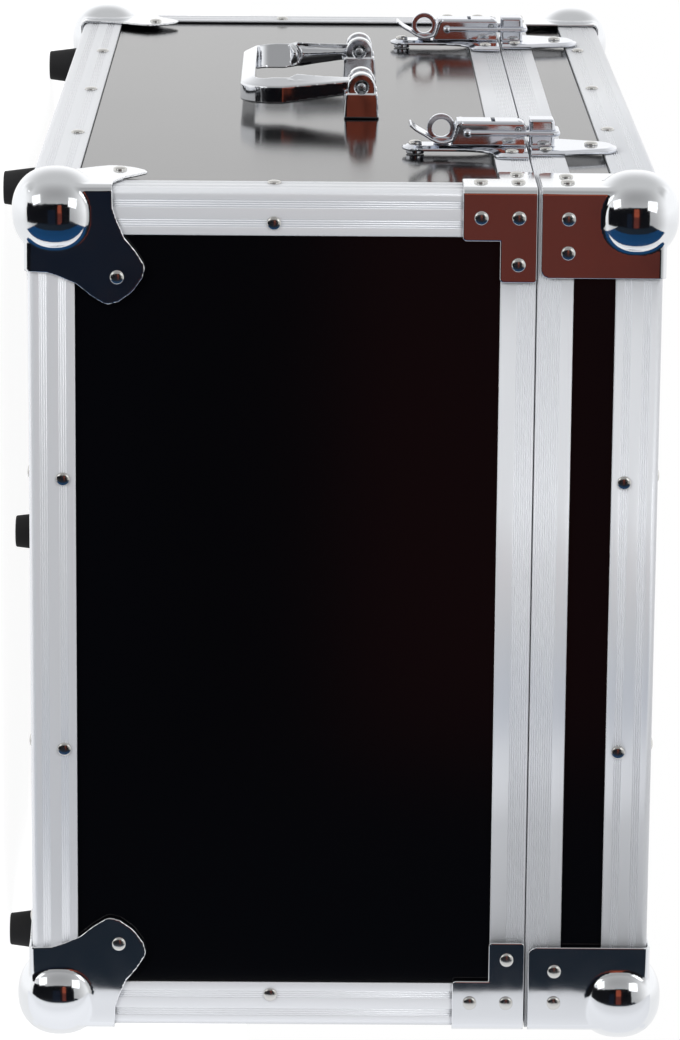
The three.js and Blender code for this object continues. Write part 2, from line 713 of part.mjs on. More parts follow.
// Toggle latch. Points are [z from the seam, height over the aluminium]; height runs towards -Y
const plateLow = fitGap;
const plateHigh = fitGap + latchPlate;
const leverEndRadius = leverTop - leverPinHeight;
const leverPinZ = -seamGap - fitGap - leverEndRadius; // the rounded end of the lever clears the catch
const earRadius = leverEndRadius - leverSheet - fitGap;
const earX = leverWidth / 2 - leverSheet - fitGap; // outer faces of the ears, inside the lever's cheeks
const latchPinBore = latchPinRadius + fitGap;

function arcPoints(z, height, radius, from, to, steps) {
  const points = [];
  for (let i = 0; i <= steps; i++) {
    const angle = from + ((to - from) * i) / steps;
    points.push([z + radius * Math.cos(angle), height + radius * Math.sin(angle)]);
  }
  return points;
}

function latchRivet(x, z, height) {
  return rivetHead().rotateX(Math.PI / 2).translate(x, -height, z);
}

function latchBasePlate() {
  const shape = new THREE.Shape();
  shape.moveTo(latchPlateHalf, -seamGap);
  shape.lineTo(latchPlateHalf, -latchRivetDrop);
  shape.quadraticCurveTo(latchPlateHalf, -latchWingDrop, latchRivetX, -latchWingDrop);
  shape.quadraticCurveTo(latchTailHalf, -latchWingDrop, latchTailHalf, -latchNeckDrop);
  shape.lineTo(latchTailHalf, -latchTail + latchTailHalf);
  shape.absarc(0, -latchTail + latchTailHalf, latchTailHalf, 0, -Math.PI, true);
  shape.lineTo(-latchTailHalf, -latchNeckDrop);
  shape.quadraticCurveTo(-latchTailHalf, -latchWingDrop, -latchRivetX, -latchWingDrop);
  shape.quadraticCurveTo(-latchPlateHalf, -latchWingDrop, -latchPlateHalf, -latchRivetDrop);
  shape.lineTo(-latchPlateHalf, -seamGap);
  const root = plateLow + latchPlate / 2;
  let plate = toSolid(prism(shape, latchPlate, towardsFront, 3).translate(0, -plateLow, 0));
  const ear = sideSolid([
    [leverPinZ - 2 * earRadius, root],
    ...arcPoints(leverPinZ, leverPinHeight, earRadius, Math.PI, 0, 4),
    [leverPinZ + earRadius, root],
  ], earSheet);
  const ring = barX(ringRadius, ringWidth).translate(0, -ringHeight, -leverTrough);
  const stem = block(-ringWidth / 2, ringWidth / 2, -ringHeight, -root,
    -leverTrough - ringBore, -leverTrough + ringBore);
  const boss = new THREE.CylinderGeometry(latchBossRadius, latchBossRadius, root + panelInset - fitGap, 12)
    .translate(0, (panelInset - fitGap - root) / 2, -latchTailRivet);
  for (const piece of [
    ear.clone().translate(earX - earSheet / 2, 0, 0), ear.clone().translate(earSheet / 2 - earX, 0, 0),
    ring, stem, boss,
    latchRivet(latchRivetX, -latchRivetDrop, plateHigh), latchRivet(-latchRivetX, -latchRivetDrop, plateHigh),
    latchRivet(0, -latchTailRivet, plateHigh),
  ]) plate = plate.add(toSolid(piece));
  return toGeometry(cut(plate, [
    barX(latchPinBore, leverWidth).translate(0, -leverPinHeight, leverPinZ),
    barX(ringBore, 2 * ringWidth).translate(0, -ringHeight, -leverTrough),
  ]));
}

// The lever is one pressed sheet: a channel over the ears, a trough round the padlock ring and a finger tab
function latchLever() {
  const half = leverSheet / 2;
  const middle = leverTop - half;
  const bend = new THREE.SplineCurve([
    [-leverFlat, middle], [-leverFlat - 2.2 * leverSheet, middle - 1.6 * leverSheet],
    [(-leverFlat - leverTrough) / 2 - leverSheet, (middle + leverTroughHeight) / 2 - half],
    [-leverTrough, leverTroughHeight - half],
    [(-leverTip - leverTrough) / 2 + leverSheet, (leverTipHeight + leverTroughHeight) / 2 - 2 * leverSheet],
    [-leverTip, leverTipHeight - half],
  ].map(([z, height]) => new THREE.Vector2(z, height)));
  const line = [new THREE.Vector2(leverPinZ, middle), ...bend.getPoints(10)];
  const upper = [];
  const lower = [];
  line.forEach((p, i) => {
    const a = line[Math.max(i - 1, 0)];
    const b = line[Math.min(i + 1, line.length - 1)];
    const normal = b.clone().sub(a).normalize().rotateAround(new THREE.Vector2(), -Math.PI / 2);
    upper.push([p.x + normal.x * half, p.y + normal.y * half]);
    lower.push([p.x - normal.x * half, p.y - normal.y * half]);
  });
  const sheet = sideSolid([...upper, ...lower.reverse()], leverWidth);
  const cheek = sideSolid([
    ...arcPoints(leverPinZ, leverPinHeight, leverEndRadius, Math.PI / 2, -Math.PI / 2, 4),
    [leverPinZ - 2 * leverEndRadius, leverCheekBottom], [-leverFlat - leverSheet, leverCheekBottom],
    [-leverFlat - leverSheet, middle - leverSheet], [-leverFlat, middle],
    [leverPinZ, middle],
  ], leverSheet);
  const cheekX = (leverWidth - leverSheet) / 2;
  const nose = sideSolid([
    ...arcPoints(leverPinZ, leverPinHeight, leverEndRadius, Math.PI / 2, Math.PI / 8, 3),
    ...arcPoints(leverPinZ, leverPinHeight, leverEndRadius - leverSheet, Math.PI / 8, Math.PI / 2, 3),
  ], 2 * (earX - earSheet - fitGap)); // the rolled end turns between the ears
  const slotHalf = ringWidth / 2 + runGap;
  const reach = ringRadius + 2 * runGap;
  return toGeometry(cut(joined([
    sheet, nose, cheek.clone().translate(cheekX, 0, 0), cheek.clone().translate(-cheekX, 0, 0),
  ]), [
    barX(latchPinBore, 2 * leverWidth).translate(0, -leverPinHeight, leverPinZ),
    barX(bailWire / 2 + fitGap, 2 * leverWidth).translate(0, -bailPivotHeight, -bailPivotDrop),
    block(-slotHalf, slotHalf, -leverTop - overrun, overrun, -leverTrough - reach, -leverTrough + reach),
  ]));
}

// The bail is a bent wire: its ends turn in through the lever's cheeks and its bar sits behind the hood
function latchBail() {
  const outer = leverWidth / 2 + fitGap + bailWire / 2;
  const inner = leverWidth / 2 - leverSheet - fitGap;
  const down = [-bailPivotDrop, -bailPivotHeight];
  const upper = [bailHookRise, -bailHookHeight];
  const corners = [
    [-inner, down], [-outer, down], [-outer, upper], [outer, upper], [outer, down], [inner, down],
  ].map(([x, [z, y]]) => new THREE.Vector3(x, y, z));
  const rise = corners[2].clone().sub(corners[1]).cross(new THREE.Vector3(1, 0, 0)).normalize();
  const sides = 8;
  const section = [];
  for (let i = 0; i < sides; i++) {
    const angle = (2 * Math.PI * (i + 0.5)) / sides;
    section.push([(bailWire / 2) * Math.cos(angle), (bailWire / 2) * Math.sin(angle)]);
  }
  const first = roundedPath(corners.slice(0, 3), bailWire / 2, 2).slice(0, -1);
  const hook = roundedPath(corners.slice(1, 5), bailBend, 3).slice(1, -1);
  const last = roundedPath(corners.slice(3), bailWire / 2, 2).slice(1);
  return sweep([...first, ...hook, ...last], rise, () => section, false);
}

// The catch on the lid: a plate with a tapered tongue and a pressed hood that the bail's bar pulls on
function latchCatch() {
  const foot = seamGap + fitGap;
  const shape = new THREE.Shape();
  const tipRise = catchRise - catchTipHalf / 2;
  const tipPull = catchTipHalf * catchTipShare;
  shape.moveTo(-catchHalf, foot);
  shape.lineTo(catchHalf, foot);
  shape.lineTo(catchHalf, lidRimLeg);
  shape.lineTo(catchTipHalf, tipRise);
  shape.quadraticCurveTo(tipPull, catchRise, 0, catchRise);
  shape.quadraticCurveTo(-tipPull, catchRise, -catchTipHalf, tipRise);
  shape.lineTo(-catchHalf, lidRimLeg);
  const plate = prism(shape, latchPlate, towardsFront, 4).translate(0, -plateLow, 0);
  const noseZ = bailHookRise - bailWire / 2 - fitGap;
  const root = plateHigh - latchPlate / 2;
  const hood = sideSolid([
    [foot, root], [foot, hoodTop], [noseZ - hoodRound, hoodTop],
    ...arcPoints(noseZ - hoodRound, hoodTop - hoodRound, hoodRound, Math.PI / 2, 0, 4), [noseZ, root],
  ], hoodWidth);
  const hollow = sideSolid([
    [-overrun, plateHigh], [-overrun, hoodTop - leverSheet], [noseZ - hoodRound, hoodTop - leverSheet],
    ...arcPoints(noseZ - hoodRound, hoodTop - hoodRound, hoodRound - leverSheet, Math.PI / 2, 0, 4),
    [noseZ - leverSheet, plateHigh],
  ], hoodWidth - 2 * leverSheet);
  const rivets = [
    latchRivet(0, catchRivetRise, plateHigh), latchRivet(catchRivetX, catchSideRivetRise, plateHigh),
    latchRivet(-catchRivetX, catchSideRivetRise, plateHigh),
  ];
  return toGeometry(cut(joined([plate, hood, ...rivets]), [hollow]));
}

const pieceOf = {
  plate: latchBasePlate(), lever: latchLever(), bail: latchBail(), catch: latchCatch(),
  pin: barX(latchPinRadius, leverWidth, 12).translate(0, -leverPinHeight, leverPinZ),
};
for (const [name, s] of Object.entries(sides)) {
  const onBase = new THREE.Group();
  onBase.position.set(s * latchX, -halfLength, seamZ);
  base.add(onBase);
  addPiece(onBase, `latch_plate_${name}`, pieceOf.plate, chrome);
  addPiece(onBase, `latch_pin_${name}`, pieceOf.pin, steel);
  addPiece(onBase, `latch_lever_${name}`, pieceOf.lever, chrome);
  addPiece(onBase, `latch_bail_${name}`, pieceOf.bail, steel);
  const onLid = new THREE.Group();
  onLid.position.copy(onBase.position);
  lid.add(onLid);
  addPiece(onLid, `latch_catch_${name}`, pieceOf.catch, chrome);
}

// Butt hinges on the back rims. Both leaves are drawn with y out from the back face and z up from the axis
const knuckleLength = hingeWidth / hingeKnuckles;
const hingeBore = hingePinRadius + fitGap;

function hingeLeafSolid(first, away) {
  const clear = hingeKnuckleRadius + runGap;
  const outside = fitGap + hingeSheet;
  const span = (from, to) => [Math.min(away * from, away * to), Math.max(away * from, away * to)];
  const pieces = [block(-hingeWidth / 2, hingeWidth / 2, fitGap, outside, ...span(clear, hingeLeaf))];
  for (let i = first; i < hingeKnuckles; i += 2) {
    const x0 = -hingeWidth / 2 + i * knuckleLength + (i > 0 ? fitGap / 2 : 0);
    const x1 = -hingeWidth / 2 + (i + 1) * knuckleLength - (i < hingeKnuckles - 1 ? fitGap / 2 : 0);
    const middle = (x0 + x1) / 2;
    pieces.push(barX(hingeKnuckleRadius, x1 - x0).translate(middle, hingeAxis, 0));
    pieces.push(block(x0, x1, fitGap, outside, ...span(0, clear + overrun)));
  }
  const rivets = [-1, 0, 1].map((s) => rivetHead().rotateX(-Math.PI / 2)
    .translate(s * (hingeWidth - knuckleLength) / 2, outside, away * (hingeLeaf + clear) / 2));
  const bore = barX(hingeBore, hingeWidth + 2 * overrun).translate(0, hingeAxis, 0);
  return toGeometry(cut(joined([...pieces, ...rivets]), [bore]));
}

function hingePin() {
  const body = barX(hingePinRadius, hingeWidth + 2 * fitGap);
  const heads = [-1, 1].map((s) => barX(hingeHeadRadius, hingeHead)
    .translate(s * (hingeWidth / 2 + fitGap + hingeHead / 2), 0, 0));
  return toGeometry(joined([body, ...heads])).translate(0, hingeAxis, 0);
}

const baseLeaf = hingeLeafSolid(0, -1);
const lidLeaf = hingeLeafSolid(1, 1);
const pinOfHinge = hingePin();
const hingeZ = seamZ + seamGap / 2;
for (const [name, s] of Object.entries(sides)) {
  addPiece(base, `hinge_base_leaf_${name}`, baseLeaf, steel).position.set(s * latchX, halfLength, hingeZ);
  addPiece(base, `hinge_pin_${name}`, pinOfHinge, steel).position.set(s * latchX, halfLength, hingeZ);
  addPiece(lid, `hinge_lid_leaf_${name}`, lidLeaf, steel).position.set(s * latchX, halfLength, hingeZ);
}

export default parts;
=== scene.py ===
import math

import bmesh
import bpy
import numpy as np
from mathutils import Matrix, Vector


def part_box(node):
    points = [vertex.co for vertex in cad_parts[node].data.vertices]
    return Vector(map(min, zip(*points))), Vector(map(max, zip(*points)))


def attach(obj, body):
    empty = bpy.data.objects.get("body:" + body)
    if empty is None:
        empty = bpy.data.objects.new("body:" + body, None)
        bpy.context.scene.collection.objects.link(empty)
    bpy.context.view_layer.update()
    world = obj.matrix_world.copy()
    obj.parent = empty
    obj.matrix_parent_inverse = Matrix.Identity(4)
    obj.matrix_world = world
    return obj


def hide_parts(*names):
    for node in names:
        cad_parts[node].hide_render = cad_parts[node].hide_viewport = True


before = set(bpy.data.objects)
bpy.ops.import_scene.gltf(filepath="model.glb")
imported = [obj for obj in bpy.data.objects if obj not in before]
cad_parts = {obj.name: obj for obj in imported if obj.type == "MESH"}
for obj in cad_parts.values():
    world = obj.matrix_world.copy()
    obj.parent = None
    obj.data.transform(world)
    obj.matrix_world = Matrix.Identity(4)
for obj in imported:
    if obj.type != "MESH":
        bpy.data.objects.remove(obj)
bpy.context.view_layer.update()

# Panels
# Boards of 7 mm birch plywood, faced outside with a black phenolic laminate and left bare inside.
# They are butted together and held by the aluminium edges riveted over them.
METRE = 0.001  # one millimetre; every size below is in millimetres
BOARD_BEVEL = 0.3
BOARD_NAMES = ["floor", "front", "back", "left", "right"]


def linear(code):
    channels = [int(code[i:i + 2], 16) / 255 for i in (1, 3, 5)]
    return [c / 12.92 if c <= 0.04045 else ((c + 0.055) / 1.055) ** 2.4 for c in channels] + [1]


def add_node(tree, kind, settings=None, **inputs):
    """Adds a node with its settings; an input given as (node, output) is linked, any other is a value."""
    node = tree.nodes.new(kind)
    for key, value in (settings or {}).items():
        setattr(node, key, value)
    for key, value in inputs.items():
        socket = node.inputs[key.replace("_", " ")]
        if isinstance(value, tuple) and isinstance(value[0], bpy.types.Node):
            tree.links.new(value[0].outputs[value[1]], socket)
        else:
            socket.default_value = value
    return node


def new_material(name, colour, metallic, roughness):
    material = bpy.data.materials.new(name)
    material.use_nodes = True
    shader = material.node_tree.nodes["Principled BSDF"]
    shader.inputs["Base Color"].default_value = linear(colour)
    shader.inputs["Metallic"].default_value = metallic
    shader.inputs["Roughness"].default_value = roughness
    return material, material.node_tree, shader


def skin(tree, shader, spread=None, relief=None, depth=0):
    """Leads a spread of roughness and a fine relief, `depth` high, to a shader."""
    if spread:
        tree.links.new(spread.outputs["Result"], shader.inputs["Roughness"])
    if relief:
        bump = add_node(tree, "ShaderNodeBump", Height=(relief, "Fac"), Distance=depth * METRE, Strength=1.0)
        tree.links.new(bump.outputs["Normal"], shader.inputs["Normal"])


def to_mesh(bm, name, crisp=None):
    """Ends a bmesh in a mesh; where its faces fold by more than `crisp` degrees they meet in a sharp edge."""
    mesh = bpy.data.meshes.new(name)
    bm.to_mesh(mesh)
    bm.free()
    if crisp:
        mesh.set_sharp_from_angle(angle=math.radians(crisp))
    return mesh


def place(mesh, name, body, slot, nodes, *materials):
    """Turns a mesh into a piece of the case that rides on a body and stands for CAD nodes."""
    piece = bpy.data.objects.new(name, mesh)
    bpy.context.scene.collection.objects.link(piece)
    if not mesh.materials:
        for material in materials:
            mesh.materials.append(material)
    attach(piece, body)
    if nodes:
        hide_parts(*nodes)
    if all(face.use_smooth for face in mesh.polygons):
        piece.modifiers.new("flats_stay_flat", "WEIGHTED_NORMAL")
    return piece


# Black phenolic laminate, pressed with a fine pearl: satin, nearly black straight on and pale at a low angle
LAMINATE_CLOUD = 70
LAMINATE_PEARL = 1.1  # drawn three times too coarse so that it shows
laminate, tree, shader = new_material("black_phenolic_laminate", "#020203", 0, 0.11)
shader.inputs["IOR"].default_value = 1.46
place_of = add_node(tree, "ShaderNodeTexCoord")
clouds = add_node(tree, "ShaderNodeTexNoise", Vector=(place_of, "Object"),
                  Scale=1 / (LAMINATE_CLOUD * METRE), Detail=3.0)
spread = add_node(tree, "ShaderNodeMapRange", Value=(clouds, "Fac"), To_Min=0.09, To_Max=0.13)
pearl = add_node(tree, "ShaderNodeTexNoise", Vector=(place_of, "Object"),
                 Scale=1 / (LAMINATE_PEARL * METRE), Detail=2.0)
skin(tree, shader, spread, pearl, 0.012)

# Bare birch ply, sanded: pale warm wood with long fine grain, which runs level on every side
PLY_GRAIN = 1.8
GRAIN_STRETCH = 0.04
birch = {}
for run, stretch in (("along", (GRAIN_STRETCH, 1, 1)), ("across", (1, GRAIN_STRETCH, 1))):
    birch[run], tree, shader = new_material("sanded_birch_ply_grain_" + run, "#c9a777", 0, 0.62)
    place_of = add_node(tree, "ShaderNodeTexCoord")
    grain_line = add_node(tree, "ShaderNodeMapping", Vector=(place_of, "Object"), Scale=stretch)
    grain = add_node(tree, "ShaderNodeTexNoise", Vector=(grain_line, "Vector"),
                     Scale=1 / (PLY_GRAIN * METRE), Detail=5.0, Distortion=0.2)
    tone = add_node(tree, "ShaderNodeValToRGB", Fac=(grain, "Fac"))
    tone.color_ramp.elements[0].position = 0.3
    tone.color_ramp.elements[0].color = linear("#bd9867")
    tone.color_ramp.elements[1].position = 0.72
    tone.color_ramp.elements[1].color = linear("#d6b98d")
    tree.links.new(tone.outputs["Color"], shader.inputs["Base Color"])
    skin(tree, shader, None, grain, 0.03)


def board(node, body):
    """A board in the CAD panel's place: laminate on the face that looks away from the case, ply elsewhere."""
    low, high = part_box(node)
    size, centre, middle = high - low, (low + high) / 2, (case_low + case_high) / 2
    bm = bmesh.new()
    bmesh.ops.create_cube(bm, size=1)
    for vertex in bm.verts:
        vertex.co = centre + vertex.co * size
    bmesh.ops.bevel(bm, geom=list(bm.edges), offset=BOARD_BEVEL * METRE, segments=1, affect="EDGES")
    thin = min(range(3), key=lambda i: size[i])
    out = 1 if centre[thin] > middle[thin] else -1
    bm.normal_update()
    for face in bm.faces:
        face.material_index = 0 if face.normal[thin] * out > 0.5 else 1
    name = node + "_board"
    ply = birch["across" if thin == 0 else "along"]
    place(to_mesh(bm, name), name, body, "laminate", [node], laminate, ply)


rim_low, rim_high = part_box("base_rim_frame")
case_low = Vector((rim_low.x, rim_low.y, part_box("bottom_edge_front")[0].z))
case_high = Vector((rim_high.x, rim_high.y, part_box("lid_top_frame")[1].z))
for side in BOARD_NAMES:
    board(f"base_{side}_panel", "base")
for side in ["top"] + BOARD_NAMES[1:]:
    board(f"lid_{side}_panel", "lid")

# Aluminium edges
# Extruded angles with a rounded corner and two groups of fine grooves on each flange, bright anodised.
# They are cut square, short of the corners, and riveted over the boards.
EDGE_LEG = 22
EDGE_WALL = 1.6
EDGE_ROUND = 3.0
EDGE_TIP = 0.4
EDGE_SETBACK = 22.3
EXTRUSION_CRISP = 28
GROOVE_PITCH = 1.07
GROOVE_DEPTH = 0.22
GROOVE_MOUTH, GROOVE_FLOOR = 0.36, 0.08  # half widths, as shares of the pitch
GROOVE_GROUPS = [5, 14]
GROOVES_IN_GROUP = 4
BASE_RIM_LEG = 16.7
SEAM_Z = rim_low.z / METRE + BASE_RIM_LEG
# Bright anodised extrusion: clean pale metal with faint die lines along its length
DIE_LINE = 1.7
aluminium, tree, shader = new_material("anodised_aluminium_extrusion", "#d0d2d6", 0.6, 0.36)
flat_map = add_node(tree, "ShaderNodeUVMap")
line_map = add_node(tree, "ShaderNodeMapping", Vector=(flat_map, "UV"), Scale=(0.0001, 1, 1))
lines = add_node(tree, "ShaderNodeTexNoise", Vector=(line_map, "Vector"), Scale=1 / DIE_LINE, Detail=1.0)
spread = add_node(tree, "ShaderNodeMapRange", Value=(lines, "Fac"), To_Min=0.34, To_Max=0.39)
skin(tree, shader, spread)


def groove_run(first, count):
    """Across and depth of V grooves with a narrow floor, one after another."""
    groove = [(-GROOVE_MOUTH, 0), (-GROOVE_FLOOR, GROOVE_DEPTH),
              (GROOVE_FLOOR, GROOVE_DEPTH), (GROOVE_MOUTH, 0)]
    return [(first + (i + 0.5 + side) * GROOVE_PITCH, depth) for i in range(count) for side, depth in groove]


def arc(centre, radius, start, end, steps):
    angles = np.radians(np.linspace(start, end, steps + 1))
    return [(centre[0] + radius * math.cos(a), centre[1] + radius * math.sin(a)) for a in angles]


def angle_section():
    """Outline of an edge angle with its outer corner at 0, 0 and its flanges along both axes."""
    foot = [p for start in GROOVE_GROUPS for p in groove_run(start, GROOVES_IN_GROUP)]
    foot += [(EDGE_LEG - EDGE_TIP, 0), (EDGE_LEG, EDGE_TIP), (EDGE_LEG, EDGE_WALL)]
    leg = [(b, a) for a, b in reversed(foot)]
    return arc((EDGE_ROUND, EDGE_ROUND), EDGE_ROUND, 180, 270, 8) + foot + [(EDGE_WALL, EDGE_WALL)] + leg


def swept(name, path, sides, ups, section, closed):
    """Carries a section along a path. Each path point has its own side and up vectors."""
    rings = [[Vector(p) + Vector(s) * a + Vector(u) * b for a, b in section]
             for p, s, u in zip(path, sides, ups)]
    girth = [0]
    for (a, b), (c, d) in zip(section, section[1:] + section[:1]):
        girth.append(girth[-1] + math.hypot(c - a, d - b))
    bm = bmesh.new()
    verts = [[bm.verts.new(v * METRE) for v in ring] for ring in rings]
    uv = bm.loops.layers.uv.new("flat")
    count = len(path)
    travel = 0
    for i in range(count if closed else count - 1):
        j = (i + 1) % count
        step = (Vector(path[j]) - Vector(path[i])).length
        for k in range(len(section)):
            m = (k + 1) % len(section)
            face = bm.faces.new([verts[i][k], verts[i][m], verts[j][m], verts[j][k]])
            face.smooth = True
            for loop, where in zip(face.loops, [(travel, girth[k]), (travel, girth[k + 1]),
                                                (travel + step, girth[k + 1]), (travel + step, girth[k])]):
                loop[uv].uv = where
        travel += step
    if not closed:
        bm.faces.new(verts[0][::-1])
        bm.faces.new(verts[-1])
    bmesh.ops.recalc_face_normals(bm, faces=list(bm.faces))
    return to_mesh(bm, name, EXTRUSION_CRISP)


def edge_angle(spot, corner, side, up, along, length):
    """An edge angle whose outer corner runs through a point, `length` long in the direction `along`."""
    half = Vector(along) * length / 2
    name = spot.replace("_", "_angle_", 1)
    path = [Vector(corner) - half, Vector(corner) + half]
    mesh = swept(name, path, [side] * 2, [up] * 2, angle_section(), False)
    place(mesh, name, "base", "aluminium", [spot.replace("_", "_edge_", 1)], aluminium)


low, high = case_low / METRE, case_high / METRE
middle_y = (low.y + high.y) / 2
length_x = high.x - low.x - 2 * EDGE_SETBACK
length_y = high.y - low.y - 2 * EDGE_SETBACK
upright_low, upright_high = (v.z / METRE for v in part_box("corner_edge_front_left"))
for side, x, in_x in (("left", low.x, 1), ("right", high.x, -1)):
    edge_angle(f"bottom_{side}", (x, middle_y, low.z), (in_x, 0, 0), (0, 0, 1), (0, 1, 0), length_y)
for end, y, in_y in (("front", low.y, 1), ("back", high.y, -1)):
    edge_angle(f"bottom_{end}", (0, y, low.z), (0, in_y, 0), (0, 0, 1), (1, 0, 0), length_x)
    for side, x, in_x in (("left", low.x, 1), ("right", high.x, -1)):
        edge_angle(f"corner_{end}_{side}", (x, y, (upright_low + upright_high) / 2), (in_x, 0, 0),
                   (0, in_y, 0), (0, 0, 1), upright_high - upright_low)

# Rims and the lid's top edge
# Extrusions mitred round the case: the base's rim wraps the boards and carries a tongue, the lid's rim has
# the groove for it, and an edge angle like those of the base runs round the top of the lid.
LID_RIM_LEG = 17.5
RIM_INNER_LEG = 12
RIM_WEB, LID_RIM_WEB = 2, 5
RIM_TIP, RIM_EDGE = 0.3, 0.5
RIM_GROOVES_AT = 0.7
BOARD_BACK = 9.2
RIM_INSIDE = 10.8
TONGUE = (4.4, 6.4, 3)  # its outer and inner side, and its height
TONGUE_TIP, TONGUE_PLAY = 0.4, 0.8
SEAM_GAP = 0.5


def mitred(name, node, body, section, z):
    corners = [(-1, -1), (1, -1), (1, 1), (-1, 1)]
    path = [(high.x * a, middle_y + (high.y - middle_y) * b, z) for a, b in corners]
    sides = [(-a, -b, 0) for a, b in corners]
    mesh = swept(name, path, sides, [(0, 0, 1)] * 4, section, True)
    place(mesh, name, body, "aluminium", [node], aluminium)


out, inn, rise = TONGUE
base_rim = ([(0, RIM_TIP - BASE_RIM_LEG), (RIM_TIP, -BASE_RIM_LEG), (EDGE_WALL, -BASE_RIM_LEG),
             (EDGE_WALL, -RIM_WEB), (BOARD_BACK, -RIM_WEB), (BOARD_BACK, -RIM_INNER_LEG),
             (RIM_INSIDE, -RIM_INNER_LEG), (RIM_INSIDE, 0), (inn, 0), (inn, rise - TONGUE_TIP),
             (inn - TONGUE_TIP, rise), (out + TONGUE_TIP, rise), (out, rise - TONGUE_TIP), (out, 0)]
            + arc((RIM_EDGE, -RIM_EDGE), RIM_EDGE, 90, 180, 3)
            + [(d, -a) for a, d in groove_run(RIM_GROOVES_AT, 8)])
mitred("base_rim", "base_rim_frame", "base", base_rim, SEAM_Z)
lid_z = SEAM_Z + SEAM_GAP
lid_rim_top = LID_RIM_LEG - SEAM_GAP
room = rise + TONGUE_PLAY - SEAM_GAP
out, inn = out - TONGUE_PLAY, inn + TONGUE_PLAY
lid_rim = ([(out, 0), (out, room), (inn, room), (inn, 0), (RIM_INSIDE, 0), (RIM_INSIDE, RIM_INNER_LEG),
            (BOARD_BACK, RIM_INNER_LEG), (BOARD_BACK, LID_RIM_WEB), (EDGE_WALL, LID_RIM_WEB),
            (EDGE_WALL, lid_rim_top), (RIM_TIP, lid_rim_top), (0, lid_rim_top - RIM_TIP)]
           + [(d, a) for a, d in reversed(groove_run(RIM_GROOVES_AT, 10))]
           + arc((RIM_EDGE, RIM_EDGE), RIM_EDGE, 180, 270, 3))
mitred("lid_rim", "lid_rim_frame", "lid", lid_rim, lid_z)
lid_top_edge = [(a, -b) for a, b in reversed(angle_section())]
mitred("lid_top_angle", "lid_top_frame", "lid", lid_top_edge, high.z)

# Ball corners of the base
# Three leaves and a half-sunk ball of 1.3 mm steel, deep drawn from one blank and chromed. The lobe between
# the two arms of each leaf takes a rivet.
PLATE = 1.3
PLATE_GAP = 0.3
BALL_RADIUS = 20.5
BALL_INSET = 12.8
BALL_POWER = 2.25  # 2 is a sphere; more is a little flatter on its three sides
BALL_FILLET = 1.1
FOLD_ROUND = 3.6
CUT_ROUND = 0.35
FIELD_STEP = 0.7
FAR_OFF = 1e9
LEAF_GROW = 0.5
LEAF_SIDE = [(39, -9), (39, 0.6), (39.5, 9.9), (40.8, 14.1), (44.7, 23.2), (49.8, 29.4), (53.6, 35.4),
             (54.2, 37.5), (53, 42.1), (49.1, 47.5)]
LEAF = [(-9, -9)] + LEAF_SIDE + [(b, a) for a, b in reversed(LEAF_SIDE)]
LEAF_RIVET = 41.7

def plated_metal(name, colour, roughness, haze, detail, low, high, wave=1, depth=0):
    """Plating whose roughness drifts from low to high over `haze` mm, on metal that waves over `wave` mm."""
    material, tree, shader = new_material(name, colour, 1, roughness)
    place_of = add_node(tree, "ShaderNodeTexCoord")
    drift, waves = (add_node(tree, "ShaderNodeTexNoise", Vector=(place_of, "Object"),
                             Scale=1 / (size * METRE), Detail=fine)
                    for size, fine in ((haze, detail), (wave, 1.0)))
    spread = add_node(tree, "ShaderNodeMapRange", Value=(drift, "Fac"), To_Min=low, To_Max=high)
    skin(tree, shader, spread, waves if depth else None, depth)
    return material


# Bright chrome on drawn steel: a dark mirror, a little uneven where the sheet was pulled over the die
chrome = plated_metal("chromed_drawn_steel", "#e9ebee", 0.07, 9, 4.0, 0.04, 0.13, 26, 0.14)


def meet(a, b, radius):
    """Distance field of what two fields share, with the edge between them rounded."""
    corner = np.hypot(np.maximum(a + radius, 0), np.maximum(b + radius, 0))
    return np.minimum(np.maximum(a, b), -radius) + corner


def join(a, b, radius):
    """Distance field of two fields together, with a fillet between them."""
    return -meet(-a, -b, radius)


def rounded(offsets, radius):
    """Distance field of where every offset is below 0, with its edges rounded."""
    w = np.stack(offsets)
    return np.linalg.norm(np.maximum(w, 0), axis=0) + np.minimum(w.max(0), 0) - radius


def line_field(u, v, line):
    """Distance from points to a line."""
    best = np.full(u.shape, FAR_OFF)
    for (ax, ay), (bx, by) in zip(line, line[1:]):
        ex, ey, wx, wy = bx - ax, by - ay, u - ax, v - ay
        t = np.clip((wx * ex + wy * ey) / max(ex * ex + ey * ey, 1e-12), 0, 1)
        best = np.minimum(best, (wx - ex * t) ** 2 + (wy - ey * t) ** 2)
    return np.sqrt(best)


def outline_field(u, v, outline, grow=0.0):
    """Distance from points to a closed outline, negative inside; grow rounds its corners outwards."""
    line = outline + outline[:1]
    inside = np.zeros(u.shape, bool)
    for (ax, ay), (bx, by) in zip(line, line[1:]):
        if by != ay:
            inside ^= ((ay > v) != (by > v)) & (u - ax < (bx - ax) * (v - ay) / (by - ay))
    return line_field(u, v, line) * np.where(inside, -1, 1) - grow


